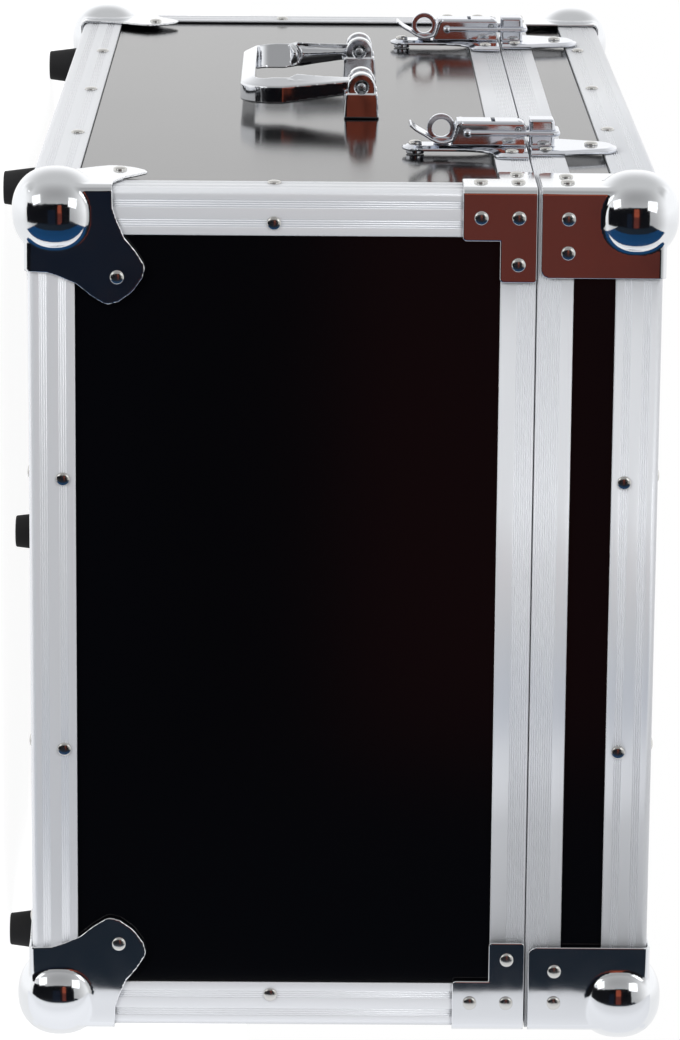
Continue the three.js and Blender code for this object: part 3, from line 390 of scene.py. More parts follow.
def field_mesh(name, field, low, high, step=FIELD_STEP):
    """Meshes the zero surface of a distance field: one vertex in each grid cell that it crosses."""
    points_at_once, rounds, probe, flat_angle = 300000, 6, 0.01, math.radians(0.4)
    low = np.array(low, float) - 1.5 * step
    counts = np.ceil((np.array(high) + 1.5 * step - low) / step).astype(int) + 1
    ticks = [low[i] + step * np.arange(counts[i]) for i in range(3)]
    grid = np.stack(np.meshgrid(*ticks, indexing="ij"), -1).reshape(-1, 3)
    parts = np.array_split(grid, len(grid) // points_at_once + 1)
    inside = (np.concatenate([field(part) for part in parts]) < 0).reshape(counts)
    filled = sum(inside[i:counts[0] - 1 + i, j:counts[1] - 1 + j, k:counts[2] - 1 + k].astype(int)
                 for i in (0, 1) for j in (0, 1) for k in (0, 1))
    mixed = (filled > 0) & (filled < 8)
    number = np.full(mixed.shape, -1)
    number[mixed] = np.arange(mixed.sum())
    points = low + step * (np.argwhere(mixed) + 0.5)
    for _ in range(rounds):
        slope = np.stack([field(points + probe * e) - field(points - probe * e) for e in np.eye(3)], 1)
        slope /= 2 * probe
        push = field(points)[:, None] * slope / np.maximum((slope ** 2).sum(1), 0.25)[:, None]
        points -= np.clip(push, -step, step)
    quads = []
    for axis in range(3):
        a, b = [i for i in range(3) if i != axis]
        near = np.take(inside, range(counts[axis] - 1), axis)
        far = np.take(inside, range(1, counts[axis]), axis)
        where = np.argwhere(near != far)
        ring = []
        for da, db in ((0, 0), (1, 0), (1, 1), (0, 1)):
            cell = where.copy()
            cell[:, a] -= da
            cell[:, b] -= db
            ring.append(number[tuple(cell.T)])
        quads.append(np.stack(ring, 1))
    mesh = bpy.data.meshes.new(name)
    mesh.from_pydata((points * METRE).tolist(), [], np.concatenate(quads).tolist())
    bm = bmesh.new()
    bm.from_mesh(mesh)
    bmesh.ops.recalc_face_normals(bm, faces=list(bm.faces))
    bmesh.ops.dissolve_limit(bm, angle_limit=flat_angle, verts=list(bm.verts), edges=list(bm.edges))
    for face in bm.faces:
        face.smooth = True
    bm.to_mesh(mesh)
    bm.free()
    return mesh


def place_at(matrix, mesh, name, body, slot, nodes, material):
    """Places a moved copy of a mesh; a mirrored copy has its faces turned back outwards."""
    copy = mesh.copy()
    copy.name = name
    copy.transform(matrix)
    if matrix.determinant() < 0:
        copy.flip_normals()
    place(copy, name, body, slot, nodes, material)


def shift(x, y, z):
    return Matrix.Translation(Vector((x, y, z)) * METRE)


def at_corner(x, y, z, up):
    """Places a corner drawn with the case on its positive sides at a corner of the case."""
    return shift(x, y, z) @ Matrix.Diagonal((-1 if x > 0 else 1, -1 if y > middle_y else 1, up, 1))


def fold_field(p, folded=(0, 1, 2)):
    """The sheet that lies on the case's faces beside a corner, folded round its edges."""
    cover = PLATE_GAP + PLATE
    outside = rounded([FOLD_ROUND - (p[:, i] + cover) for i in folded], FOLD_ROUND)
    return np.maximum(outside, -outside - PLATE)


def ball_field(p):
    q = np.abs(p - BALL_INSET) / BALL_RADIUS
    ball = BALL_RADIUS * ((q ** BALL_POWER).sum(1) ** (1 / BALL_POWER) - 1)
    return np.maximum(ball, (p + PLATE_GAP).min(1))


def base_corner_field(p):
    order = np.sort(p, axis=1)
    leaf = outline_field(order[:, 1], order[:, 2], LEAF, LEAF_GROW)
    return join(meet(fold_field(p), leaf, CUT_ROUND), ball_field(p), BALL_FILLET)


base_corner = field_mesh("base_ball_corner", base_corner_field, (-8.5, -8.5, -8.5), (56, 56, 56))
corners = [(f"{end}_{side}", x, y) for end, y in (("front", low.y), ("back", high.y))
           for side, x in (("left", low.x), ("right", high.x))]
for spot, x, y in corners:
    place_at(at_corner(x, y, low.z, 1), base_corner, f"base_ball_corner_{spot}", "base", "chrome",
             [f"ball_corner_{spot}"], chrome)

# Ball corners and rim braces of the lid and the seam
# The lid's corners are folded plates as tall as the lid with the same ball. A brace bent round each upright
# edge, under the seam, ties the base's rim to the corner angle. All are 1.3 mm steel, chromed.
LID_PLATE = (41, 41, 57)
LID_PLATE_ROUND = 4
BRACE_RUN = (43.2, 17.1)
BRACE_RISE = (23.7, 34.5)
BRACE_ROUND = 1.8


def lid_corner_field(p):
    reach = rounded([np.abs(p[:, i]) - (LID_PLATE[i] - LID_PLATE_ROUND) for i in range(3)], LID_PLATE_ROUND)
    return join(meet(fold_field(p), reach, CUT_ROUND), ball_field(p), BALL_FILLET)


def brace_field(p):
    along = np.maximum(p[:, 0], p[:, 1])
    (run, drop), (width, rise) = BRACE_RUN, BRACE_RISE
    shape = [(-9, 0), (run, 0), (run, drop), (width, drop), (width, rise), (-9, rise)]
    inset = [(a - BRACE_ROUND * (a > 0), min(max(b, BRACE_ROUND), b - BRACE_ROUND) if b > 0 else BRACE_ROUND)
             for a, b in shape]
    inset[3] = (width - BRACE_ROUND, drop - BRACE_ROUND)
    leaf = outline_field(along, p[:, 2], inset, BRACE_ROUND)
    return meet(fold_field(p, (0, 1)), leaf, CUT_ROUND)


lid_corner = field_mesh("lid_ball_corner", lid_corner_field, (-8.5, -8.5, -8.5), (42, 42, 58))
rim_brace = field_mesh("rim_brace", brace_field, (-3, -3, -1), (45, 45, 36))
for spot, x, y in corners:
    for top, mesh, name, body in ((high.z, lid_corner, f"lid_ball_corner_{spot}", "lid"),
                                  (SEAM_Z, rim_brace, f"rim_brace_{spot}", "base")):
        place_at(at_corner(x, y, top, -1), mesh, name, body, "chrome", [name], chrome)

# Rivets
# Tubular steel rivets with a low domed head, nickel plated, drawn up tight on the plates and the edges.
RIVET_RADIUS = 3.3
RIVET_HEIGHT = 1.6
LID_RIVETS = [(29, 44.5), (13, 44.5)]
BRACE_RIVETS = [(12.7, 8.5), (34.7, 8.5), (12.7, 26)]
LID_TOP_RIVET = 32.5
EDGE_RIVET_INSET = 16
UPRIGHT_RIVET = 114.5  # halfway up each upright edge
BASE_LONG_RIVETS, LID_LONG_RIVETS, SHORT_RIVETS = (-146, -4, 139), (-160, -20, 119), (-66, 66)
TURNED_CRISP = 32

# Nickel plate: warmer and softer than the chrome
nickel = plated_metal("nickel_plated_rivet", "#d3d2cf", 0.18, 1.6, 3.0, 0.12, 0.26)


def turned(name, profile, sides):
    """A round piece about Z from (radius, height) points."""
    bm = bmesh.new()
    rings = []
    for radius, height in profile:
        if radius < 1e-6:
            rings.append([bm.verts.new((0, 0, height * METRE))] * sides)
        else:
            turns = (2 * math.pi * i / sides for i in range(sides))
            rings.append([bm.verts.new(Vector((radius * math.cos(t), radius * math.sin(t), height)) * METRE)
                          for t in turns])
    for a, b in zip(rings, rings[1:]):
        for i in range(sides):
            j = (i + 1) % sides
            corner = list(dict.fromkeys([a[i], a[j], b[j], b[i]]))
            if len(corner) > 2:
                bm.faces.new(corner).smooth = True
    for ring in (rings[0], rings[-1]):
        if len(set(ring)) > 2:
            bm.faces.new(ring)
    bmesh.ops.recalc_face_normals(bm, faces=list(bm.faces))
    return to_mesh(bm, name, TURNED_CRISP)


dome = ([(0, RIVET_HEIGHT)]
        + [(RIVET_RADIUS * math.sin(t), RIVET_HEIGHT * (0.3 + 0.7 * math.cos(t)))
           for t in np.radians(np.linspace(12, 84, 9))]
        + [(RIVET_RADIUS, 0.1), (RIVET_RADIUS, -0.3)])
rivet_mesh = turned("rivet", dome, 40)


def rivets(name, body, places):
    """One object with several rivets of a body; each place is (point, outward direction)."""
    bm = bmesh.new()
    for point, out in places:
        spin = Vector((0, 0, 1)).rotation_difference(Vector(out)).to_matrix().to_4x4()
        start = len(bm.verts)
        bm.from_mesh(rivet_mesh)
        bm.verts.ensure_lookup_table()
        bmesh.ops.transform(bm, matrix=shift(*point) @ spin, verts=bm.verts[start:])
    place(to_mesh(bm, name, TURNED_CRISP), name, body, "steel", [], nickel)


def beside(x, y, along, z, lift):
    """A rivet on both of the faces that meet in the upright edge at x, y."""
    in_x, in_y = (-1 if x > 0 else 1), (-1 if y > middle_y else 1)
    return [((x - in_x * lift, y + in_y * along, z), (-in_x, 0, 0)),
            ((x + in_x * along, y - in_y * lift, z), (0, -in_y, 0))]


base_rivets, lid_rivets = [], []
on_plate = PLATE_GAP + PLATE
for _, x, y in corners:
    base_rivets += beside(x, y, LEAF_RIVET, low.z + LEAF_RIVET, on_plate)
    for inset, z, face, up, group in ((LEAF_RIVET, low.z, -on_plate, -1, base_rivets),
                                      (LID_TOP_RIVET, high.z, on_plate, 1, lid_rivets)):
        in_x, in_y = -math.copysign(inset, x), -math.copysign(inset, y - middle_y)
        group.append(((x + in_x, y + in_y, z + face), (0, 0, up)))
    for along, drop in BRACE_RIVETS:
        base_rivets += beside(x, y, along, SEAM_Z - drop, on_plate)
    for along, drop in LID_RIVETS:
        lid_rivets += beside(x, y, along, high.z - drop, on_plate)
    base_rivets += beside(x, y, EDGE_RIVET_INSET, low.z + UPRIGHT_RIVET, 0)
for group, z, up, long_rivets in ((base_rivets, low.z, 1, BASE_LONG_RIVETS),
                                  (lid_rivets, high.z, -1, LID_LONG_RIVETS)):
    for y, out in ((low.y, -1), (high.y, 1)):
        for x in long_rivets:
            group += [((x, y, z + up * EDGE_RIVET_INSET), (0, out, 0)),
                      ((x, y - out * EDGE_RIVET_INSET, z), (0, 0, -up))]
    for x, out in ((low.x, -1), (high.x, 1)):
        for y in SHORT_RIVETS:
            group += [((x, middle_y + y, z + up * EDGE_RIVET_INSET), (out, 0, 0)),
                      ((x - out * EDGE_RIVET_INSET, middle_y + y, z), (0, 0, -up))]
rivets("base_rivets", "base", base_rivets)
rivets("lid_rivets", "lid", lid_rivets)

# Feet
# Moulded rubber cones, each held by a screw sunk in its tip. The middle pair stands on the floor board.
FOOT_SEGMENTS = 48
FOOT_TOP, FOOT_TIP, FOOT_LIP = 10.0, 8.0, 0.9
SCREW_HOLE = (4.0, 6.0)  # its radius and depth
SCREW_HEAD = [(0, 2.7), (0.9, 2.7), (1.4, 3.3), (2.6, 3.4), (3.4, 4.1), (3.4, 5.4), (0, 5.4)]

# Moulded rubber: dull and nearly black, with a faint moulded skin
rubber, tree, shader = new_material("moulded_black_rubber", "#161617", 0, 0.8)
place_of = add_node(tree, "ShaderNodeTexCoord")
grit = add_node(tree, "ShaderNodeTexNoise", Vector=(place_of, "Object"), Scale=1 / (0.9 * METRE), Detail=4.0)
skin(tree, shader, None, grit, 0.05)

# Zinc plated steel: cool grey, softly mottled
zinc = plated_metal("zinc_plated_steel", "#c3c6ca", 0.28, 3, 4.0, 0.18, 0.36)

screw = turned("foot_screw", SCREW_HEAD, 24)
for node in [f"foot_{row}_{side}" for row in ("front", "middle", "back") for side in ("left", "right")]:
    foot_low, foot_high = (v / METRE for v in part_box(node))
    hole, depth = SCREW_HOLE
    profile = ([(0, depth), (hole, depth), (hole, 0.3), (hole + 0.3, 0)]
               + arc((FOOT_TIP - FOOT_LIP, FOOT_LIP), FOOT_LIP, 270, 360, 5)
               + [(FOOT_TOP, foot_high.z), (0, foot_high.z)])
    middle = (foot_low + foot_high) / 2
    spot = shift(middle.x, middle.y, 0)
    place_at(spot, turned(node, profile, FOOT_SEGMENTS), node + "_rubber", "base", "rubber", [node], rubber)
    place_at(spot, screw, node + "_screw", "base", "steel", [], zinc)

# Drop handle
# A die-cast grip with a sloping top, its arms tapering to an eye at each end, hung on short pins in two cast
# brackets that are riveted through the front board. All cast zinc, chromed; the pins are steel.
PIVOT = (14.3, 157)
HANDLE_HALF = 64
GRIP_REACH = 62
GRIP_WIDTH = 7.6
ARM_WIDTH = 12
ARM_LOW = (-10.0, -5.4)  # heights from the pivot: at the grip, and where the arms end in their eyes
ARM_CREASE = (-0.9, 2.0)
ROOF_RISE = (0.5, 0.15)
OUTER_BEND, INNER_BEND = 18, 7
TAPER_FROM, TAPER_TO = -40, -6
TAPER_SHARE = 0.43  # of its width that an arm loses
CONE_FROM, CONE_TO = -31, -7
CONE_RADII = (6.5, 3.0)
CONE_HEIGHTS = (-3.0, -2.0)
COLLAR_BOW = 0.08  # the collar's edge is bowed: how fast it draws back above and below
INNER_LEAN = 0.42  # how far the inner sides of the arms lean out below, as a slope
EYE_RADIUS, EYE_HALF = 6.2, 5.6
PIN_RADIUS = 2.6
BRACKET_HALF = 14
SLOT_HALF = 6
CAST_ROUND = 0.9


def bracket_field(p):
    x, h, z = np.abs(p[:, 0]), p[:, 1] + PIVOT[0], p[:, 2]
    foot = [(8.8, -1.6), (8.1, 10.6), (7.9, 11.0), (6.9, 11.2)]
    side = foot + arc((0, PIVOT[0]), 7, 0, 180, 18) + [(-a, b) for a, b in reversed(foot)]
    stand_back = 0.8 * np.clip((h - 10.6) / 0.5, 0, 1)  # the lugs stand back from the foot
    body = meet(outline_field(z, h, side, 0.1), x - BRACKET_HALF + stand_back, CAST_ROUND)
    slot = np.maximum(x - SLOT_HALF, 7.3 - h)
    body = meet(body, -slot, 0.6)
    around = np.hypot(z, p[:, 1])
    body = meet(body, -np.maximum(around - PIN_RADIUS - 0.8, BRACKET_HALF - 1.8 - x), 0.3)
    return np.maximum(body, PIN_RADIUS + 0.15 - around)


def grip_field(p):
    x, h, z = np.abs(p[:, 0]), p[:, 1], p[:, 2]
    along = np.clip((z - TAPER_FROM) / (TAPER_TO - TAPER_FROM), 0, 1)
    low_side, crease, rise = (a + (b - a) * along for a, b in (ARM_LOW, ARM_CREASE, ROOF_RISE))
    narrow = 1 - TAPER_SHARE * along
    tx = HANDLE_HALF + (x - HANDLE_HALF) / narrow
    ox, oz = tx - (HANDLE_HALF + ARM_WIDTH / 2 - OUTER_BEND), -z - (GRIP_REACH - OUTER_BEND)
    # between the grip and the collar the inner side leans, so that the opening is wider on top
    lean = INNER_LEAN * np.clip((CONE_FROM - 2 - z) / 4, 0, 1)
    ix, iz = tx - (HANDLE_HALF - ARM_WIDTH / 2 - INNER_BEND), -z - (GRIP_REACH - GRIP_WIDTH - INNER_BEND)
    ix = (ix - (h - low_side - 4) * lean) / np.hypot(1, lean)
    outer, inner = rounded((ox, oz), OUTER_BEND) * narrow, rounded((ix, iz), INNER_BEND) * narrow
    roof = (h - crease + outer * rise) / np.hypot(1, rise)
    bar = meet(meet(meet(outer, -inner, CAST_ROUND), roof, CAST_ROUND), low_side - h, CAST_ROUND)
    bar = np.maximum(bar, z - TAPER_TO)
    # on the inner side a cone swells from the eye to a collar, with a groove before the grip
    share = np.clip((z - CONE_FROM) / (CONE_TO - CONE_FROM), 0, 1)
    radius, height = (a + (b - a) * share for a, b in (CONE_RADII, CONE_HEIGHTS))
    off = np.hypot(x - HANDLE_HALF + 1.5, h - height) - radius
    bowed = z + COLLAR_BOW * (h - height) ** 2
    cone = meet(off * 0.98, np.maximum(CONE_FROM - bowed, z - CONE_TO) * 0.8, 0.9)
    bead = meet(off + 0.4, (np.abs(bowed - CONE_FROM + 3.2) - 1.6) * 0.8, 1.0)
    round_side = meet(np.minimum(cone, bead), x - HANDLE_HALF - 2, 0.7)
    round_side = meet(round_side, h - crease - ARM_WIDTH * rise * narrow + 2.6, 0.7)
    eye = meet(np.hypot(z, h) - EYE_RADIUS, np.abs(x - HANDLE_HALF) - EYE_HALF, CAST_ROUND)
    whole = join(join(bar, round_side, 0.4), eye, 1.0)
    return np.maximum(whole, PIN_RADIUS + 0.15 - np.hypot(z, h))


# Chromed zinc casting: a mirror a little softer than the drawn steel, with slight sinks
cast = plated_metal("chromed_zinc_casting", "#e4e6ea", 0.1, 5, 3.0, 0.03, 0.08, 15, 0.15)


def on_front(x, height, z):
    """Places a piece drawn as (x, height over the face, z) on the front of the case."""
    return shift(x, low.y - height, z) @ Matrix.Diagonal((1, -1, 1, 1))


pivot_z = low.z + PIVOT[1]
grip = field_mesh("grip", grip_field, (-71, -11, -63), (71, 7, 7), 0.7)
place_at(on_front(0, PIVOT[0], pivot_z), grip, "handle_grip", "handle", "chrome", ["carry_handle"], cast)
bracket = field_mesh("bracket", bracket_field, (-14.5, -16.5, -9.5), (14.5, 7.5, 9.5), 0.5)
pin_tip = [(0, -13.3), (1.9, -13.3), (PIN_RADIUS, -12.7)]
handle_pin = turned("handle_pin", pin_tip + [(radius, -z) for radius, z in reversed(pin_tip)], 32)
ACROSS = Matrix.Rotation(math.radians(90), 4, "Y")  # lays a piece turned about Z along X
for side, x in (("left", -HANDLE_HALF), ("right", HANDLE_HALF)):
    spot = on_front(x, PIVOT[0], pivot_z)
    name = f"handle_bracket_{side}"
    place_at(spot, bracket, name, "base", "chrome", [name], cast)
    name = f"handle_pin_{side}"
    place_at(spot @ ACROSS, handle_pin, name, "base", "steel", [name], zinc)

# Toggle latches
# A pressed base plate with two ears and a padlock ring, a channel lever on a pin through the ears, a wire
# bail hooked into the lever's cheeks, and a catch on the lid with a raised hood. All nickel-chromed steel.
LATCH_X = 184
SHEET = 1.5
LEVER_SHEET, LEVER_HALF, LEVER_TOP = 1.2, 8, 15.2
TRAY_RISE, TRAY_SLOPE = 1.0, 3.5
LEVER_PIN = (-4.8, 11.2)
LEVER_END = 4.0
CHEEK_LOW = 3.6
FLAT_END = -34.0
EAR_MIDDLE = 5.75
BAIL_PIVOT, BAIL_HOOK = (-29.4, 9.6), (14.4, 9.6)
WIRE = 2.6
RING = (-42.0, 10.9, 6.9, 4.35)  # its middle, its height, its outer and its inner radius
RING_HALF = 1.5
BOSS_Z, TAIL_END_Z = -54.5, -51.4
PLATE_RIVETS, CATCH_RIVETS = [(24, -8.5), (-24, -8.5), (0, BOSS_Z)], [(0, 31), (15.5, 8), (-15.5, 8)]
RIVET_SEAT = 3.2
HOOD_HALF, HOOD_ROUND, HOOD_TOP = 6.8, 1.8, 16.2
HOOD_NOSE = 12.95


def spline(points, steps):
    """A smooth line through points."""
    p = np.array([2 * np.array(points[0]) - points[1]] + [np.array(q) for q in points]
                 + [2 * np.array(points[-1]) - points[-2]], float)
    line = []
    for a, b, c, d in zip(p, p[1:], p[2:], p[3:]):
        for t in np.arange(steps) / steps:
            line.append(0.5 * (2 * b + (c - a) * t + (2 * a - 5 * b + 4 * c - d) * t ** 2
                               + (3 * b - a - 3 * c + d) * t ** 3))
    return [tuple(q) for q in line] + [tuple(p[-2])]


def quadratic(a, b, c, steps=6):
    return [tuple(np.array(a) * (1 - t) ** 2 + 2 * np.array(b) * t * (1 - t) + np.array(c) * t * t)
            for t in np.arange(1, steps + 1) / steps]


plate_half = ([(31, 4), (31, -8.5)] + quadratic((31, -8.5), (31, -17), (24, -17))
              + quadratic((24, -17), (9.5, -17), (9.5, -35.2)) + arc((0, TAIL_END_Z), 9.5, 0, -90, 8))
plate_outline = plate_half + [(-x, z) for x, z in reversed(plate_half)]
catch_half = [(21, -4), (21, 17.5), (14, 36.7)] + quadratic((14, 36.7), (11.2, 43.7), (0, 43.7))
catch_outline = catch_half + [(-x, z) for x, z in reversed(catch_half)]


def tray(x, h, z, outline, end):
    """A pressed plate, its middle raised over a sloping border and left straight at its open end."""
    inside = -outline_field(x, z, outline)
    share = np.clip(inside / TRAY_SLOPE, 0, 1)
    raised = 1.25 + TRAY_RISE * share * share * (3 - 2 * share)
    return meet(meet((np.abs(h - raised) - SHEET / 2) * 0.85, -inside, 0.35), end, 0.3)


def latch_plate_field(p):
    x, h, z = np.abs(p[:, 0]), p[:, 1], p[:, 2]
    plate = tray(x, h, z, plate_outline, z + 0.5)
    boss = meet(np.hypot(x, z - BOSS_Z) - 4.5, np.abs(h + 0.2) - 1.4, 0.4)
    plate = join(plate, boss, 0.5)
    (pin_z, pin_h), (ring_z, ring_h, ring_out, ring_in) = LEVER_PIN, RING
    foot = outline_field(z, h, [(-13.5, 0), (-0.8, 0), (-0.8, 3.5), (pin_z + 2.4, pin_h - 1),
                                (pin_z - 2.4, pin_h - 1), (-13.5, 4)])
    ear_side = np.maximum(np.minimum(np.hypot(z - pin_z, h - pin_h) - 2.5, foot), 1 - h)
    ear = meet(ear_side, np.abs(x - EAR_MIDDLE) - SHEET / 2, 0.3)
    around = np.hypot(z - ring_z, h - ring_h)
    side = x - RING_HALF
    ring = meet(np.maximum(around - ring_out, ring_in - around), side, 0.25)
    stem = meet(np.maximum(np.abs(z - ring_z) - 3.4, np.maximum(h - ring_h + 5, 1 - h)), side, 0.4)
    whole = join(join(plate, ear, 0.8), join(ring, stem, 1.0), 0.6)
    return np.maximum(whole, 1.35 - np.hypot(z - pin_z, h - pin_h))


tab_line = spline([(-32.4, 14.6), (-34.0, 12.4), (-35.8, 7.4), (-37.9, 5.2), (-42.4, 4.5), (-46.6, 6.0),
                   (-49.8, 8.0), (-53.9, 10.4), (-57, 13)], 6)


def latch_lever_field(p):
    x, h, z = np.abs(p[:, 0]), p[:, 1], p[:, 2]
    pin_z, pin_h = LEVER_PIN
    fold = 1.9
    skin = rounded((x - LEVER_HALF + fold, h - LEVER_TOP + fold), fold)
    skin = np.maximum(skin, -(skin + LEVER_SHEET))
    cheek = [(FLAT_END - 3, CHEEK_LOW), (pin_z - 8, CHEEK_LOW)] + arc(LEVER_PIN, LEVER_END, -100, 90, 12)
    cheek += [(pin_z, LEVER_TOP + 2), (FLAT_END, LEVER_TOP + 2)]
    channel = meet(skin, outline_field(z, h, cheek), 0.3)
    opening = np.maximum(x - LEVER_HALF + LEVER_SHEET, pin_z - z)
    channel = np.maximum(channel, -opening)
    half = LEVER_SHEET / 2
    tab = meet(line_field(z, h, tab_line) - half, x - LEVER_HALF, 0.5)
    roll = line_field(z, h, arc(LEVER_PIN, LEVER_END - half, 90, 20, 6)) - half
    roll = meet(roll, x - 4.4, 0.3)
    whole = join(np.minimum(channel, roll), tab, 0.6)
    slot = np.maximum(x - RING_HALF - 0.4, np.abs(z - RING[0]) - RING[2] - 0.4)
    hole = np.minimum(np.hypot(z - pin_z, h - pin_h) - 1.5,
                      np.hypot(z - BAIL_PIVOT[0], h - BAIL_PIVOT[1]) - 1.45)
    window = np.maximum(x - 6.2, np.abs(z + 16.8) - 0.8)
    return np.maximum(meet(whole, -slot, 0.2), -np.minimum(hole, np.maximum(window, LEVER_TOP - 2.4 - h)))


def latch_catch_field(p):
    x, h, z = np.abs(p[:, 0]), p[:, 1], p[:, 2]
    plate = tray(x, h, z, catch_outline, 0.8 - z)
    root, shoulder = HOOD_NOSE - HOOD_ROUND, HOOD_TOP - HOOD_ROUND
    side = [(0.8, -1), (0.8, HOOD_TOP)] + arc((root, shoulder), HOOD_ROUND, 90, 0, 8) + [(HOOD_NOSE, -1)]
    hood = meet(outline_field(z, h, side), x - HOOD_HALF, 1.8)
    hood = np.maximum(hood, 0.9 - h)
    inner = [(-3, 1.8), (-3, HOOD_TOP - 1.2)] + arc((root, shoulder), HOOD_ROUND - 1.2, 90, 0, 8)
    inner += [(HOOD_NOSE - 1.2, 1.8)]
    hollow = meet(outline_field(z, h, inner), x - HOOD_HALF + 1.2, 0.8)
    return np.maximum(join(plate, hood, 0.9), -hollow)


plate_mesh = field_mesh("latch_plate", latch_plate_field, (-32, -2, -62), (32, 19, 0), 0.44)
lever_mesh = field_mesh("latch_lever", latch_lever_field, (-8.5, 2, -58.5), (8.5, 16, 0), 0.42)
catch_mesh = field_mesh("latch_catch", latch_catch_field, (-22, 0, 0), (22, 17, 45), 0.5)


def wire(name, points, plane_normal, radius):
    """Round wire along points that lie in one plane."""
    path = [Vector(p) for p in points]
    normal = Vector(plane_normal).normalized()
    across = []
    for i, p in enumerate(path):
        before = (p - path[max(i - 1, 0)]).normalized()
        after = (path[min(i + 1, len(path) - 1)] - p).normalized()
        tangent = (before + after).normalized()
        across.append(normal.cross(tangent) / max(tangent.dot(after if after.length else before), 0.5))
    circle = [(radius * math.cos(t), radius * math.sin(t)) for t in np.radians(np.arange(0, 360, 30))]
    return swept(name, path, across, [normal] * len(path), circle, False)


def rounded_corner(a, b, c, radius, steps=6):
    """Points round the corner at b of a line from a by b to c."""
    a, b, c = Vector(a), Vector(b), Vector(c)
    u, v = (a - b).normalized(), (c - b).normalized()
    half = u.angle(v) / 2
    middle = b + (u + v).normalized() * (radius / math.sin(half))
    first, last = b + u * radius / math.tan(half), b + v * radius / math.tan(half)
    turn = (first - middle).cross(last - middle).normalized()
    sweep = (first - middle).angle(last - middle)
    return [middle + Matrix.Rotation(sweep * i / steps, 3, turn) @ (first - middle) for i in range(steps + 1)]


(down_z, down_h), (hook_z, hook_h) = BAIL_PIVOT, BAIL_HOOK
reach = LEVER_HALF + 0.3 + WIRE / 2
wire_corners = [(-6.5, down_h, down_z), (-reach, down_h, down_z), (-reach, hook_h, hook_z),
                (reach, hook_h, hook_z), (reach, down_h, down_z), (6.5, down_h, down_z)]
wire_line = [wire_corners[0]]
for i, bend in ((1, 1.6), (2, 2.8), (3, 2.8), (4, 1.6)):
    wire_line += rounded_corner(wire_corners[i - 1], wire_corners[i], wire_corners[i + 1], bend)
wire_line.append(wire_corners[-1])
bail_rise = (Vector(wire_corners[2]) - Vector(wire_corners[1])).cross(Vector((1, 0, 0)))
bail_mesh = wire("latch_bail", wire_line, bail_rise, WIRE / 2)
bail_eye = turned("bail_eye", [(0, -1.3), (1.7, -1.3), (2.1, -0.9), (2.1, 0.7), (1.3, 1.3), (0, 1.4)], 24)
pin_tip = [(0, -8), (1.0, -8), (1.2, -7.8)]
latch_pin = turned("latch_pin", pin_tip + [(radius, -z) for radius, z in reversed(pin_tip)], 20)

# Nickel and chrome on pressed steel strip: cooler and softer than the corners, lightly brushed before plating
BRUSH_MARK = 1.5  # drawn coarser than the real marks of 0.2 mm so that they show
plated, tree, shader = new_material("nickel_chromed_strip", "#dcdfe6", 1, 0.09)
place_of = add_node(tree, "ShaderNodeTexCoord")
brush = add_node(tree, "ShaderNodeMapping", Vector=(place_of, "Object"), Scale=(1, 1, 0.05))
marks = add_node(tree, "ShaderNodeTexNoise", Vector=(brush, "Vector"),
                 Scale=1 / (BRUSH_MARK * METRE), Detail=2.0)
spread = add_node(tree, "ShaderNodeMapRange", Value=(marks, "Fac"), To_Min=0.05, To_Max=0.14)
skin(tree, shader, spread)

for side, x in (("left", -LATCH_X), ("right", LATCH_X)):
    spot = on_front(x, 0, SEAM_Z)
    for part, body, mesh in (("plate", "base", plate_mesh), ("lever", f"lever_{side}", lever_mesh),
                             ("catch", "lid", catch_mesh)):
        name = f"latch_{part}_{side}"
        place_at(spot, mesh, name + "_pressing", body, "chrome", [name], plated)
    name, body = f"latch_bail_{side}", f"bail_{side}"
    place_at(spot, bail_mesh, name + "_wire", body, "steel", [name], plated)
    for end, way in (("near", 1), ("far", -1)):
        turn = Matrix.Rotation(math.radians(90 * way), 4, "Y")
        place_at(on_front(x + way * reach, down_h, SEAM_Z + down_z) @ turn, bail_eye, f"{name}_eye_{end}",
                 body, "steel", [], plated)
    name = f"latch_pin_{side}"
    place_at(on_front(x, LEVER_PIN[1], SEAM_Z + LEVER_PIN[0]) @ ACROSS, latch_pin, name + "_turned",
             "base", "steel", [name], zinc)
    for part, body, spots in (("plate", "base", PLATE_RIVETS), ("catch", "lid", CATCH_RIVETS)):
        rivets(f"latch_{part}_{side}_rivets", body,
               [((x + dx, low.y - RIVET_SEAT, SEAM_Z + dz), (0, -1, 0)) for dx, dz in spots])

# Hinges
# Two butt hinges of rolled steel strip across the seam at the back, riveted to both rims, zinc plated.
HINGE_HALF = 31
HINGE_SHEET = (1.05, 0.75)  # the middle of its thickness over the rims, and half of it
LEAF_MIDDLE, LEAF_HALF = 9.7, 5.8
HINGE_RIVETS = (-24.8, 0, 24.8)
HINGE_AXIS = 3.8
KNUCKLE_RADIUS = 3.5
HINGE_PIN = 1.9
KNUCKLES = 5


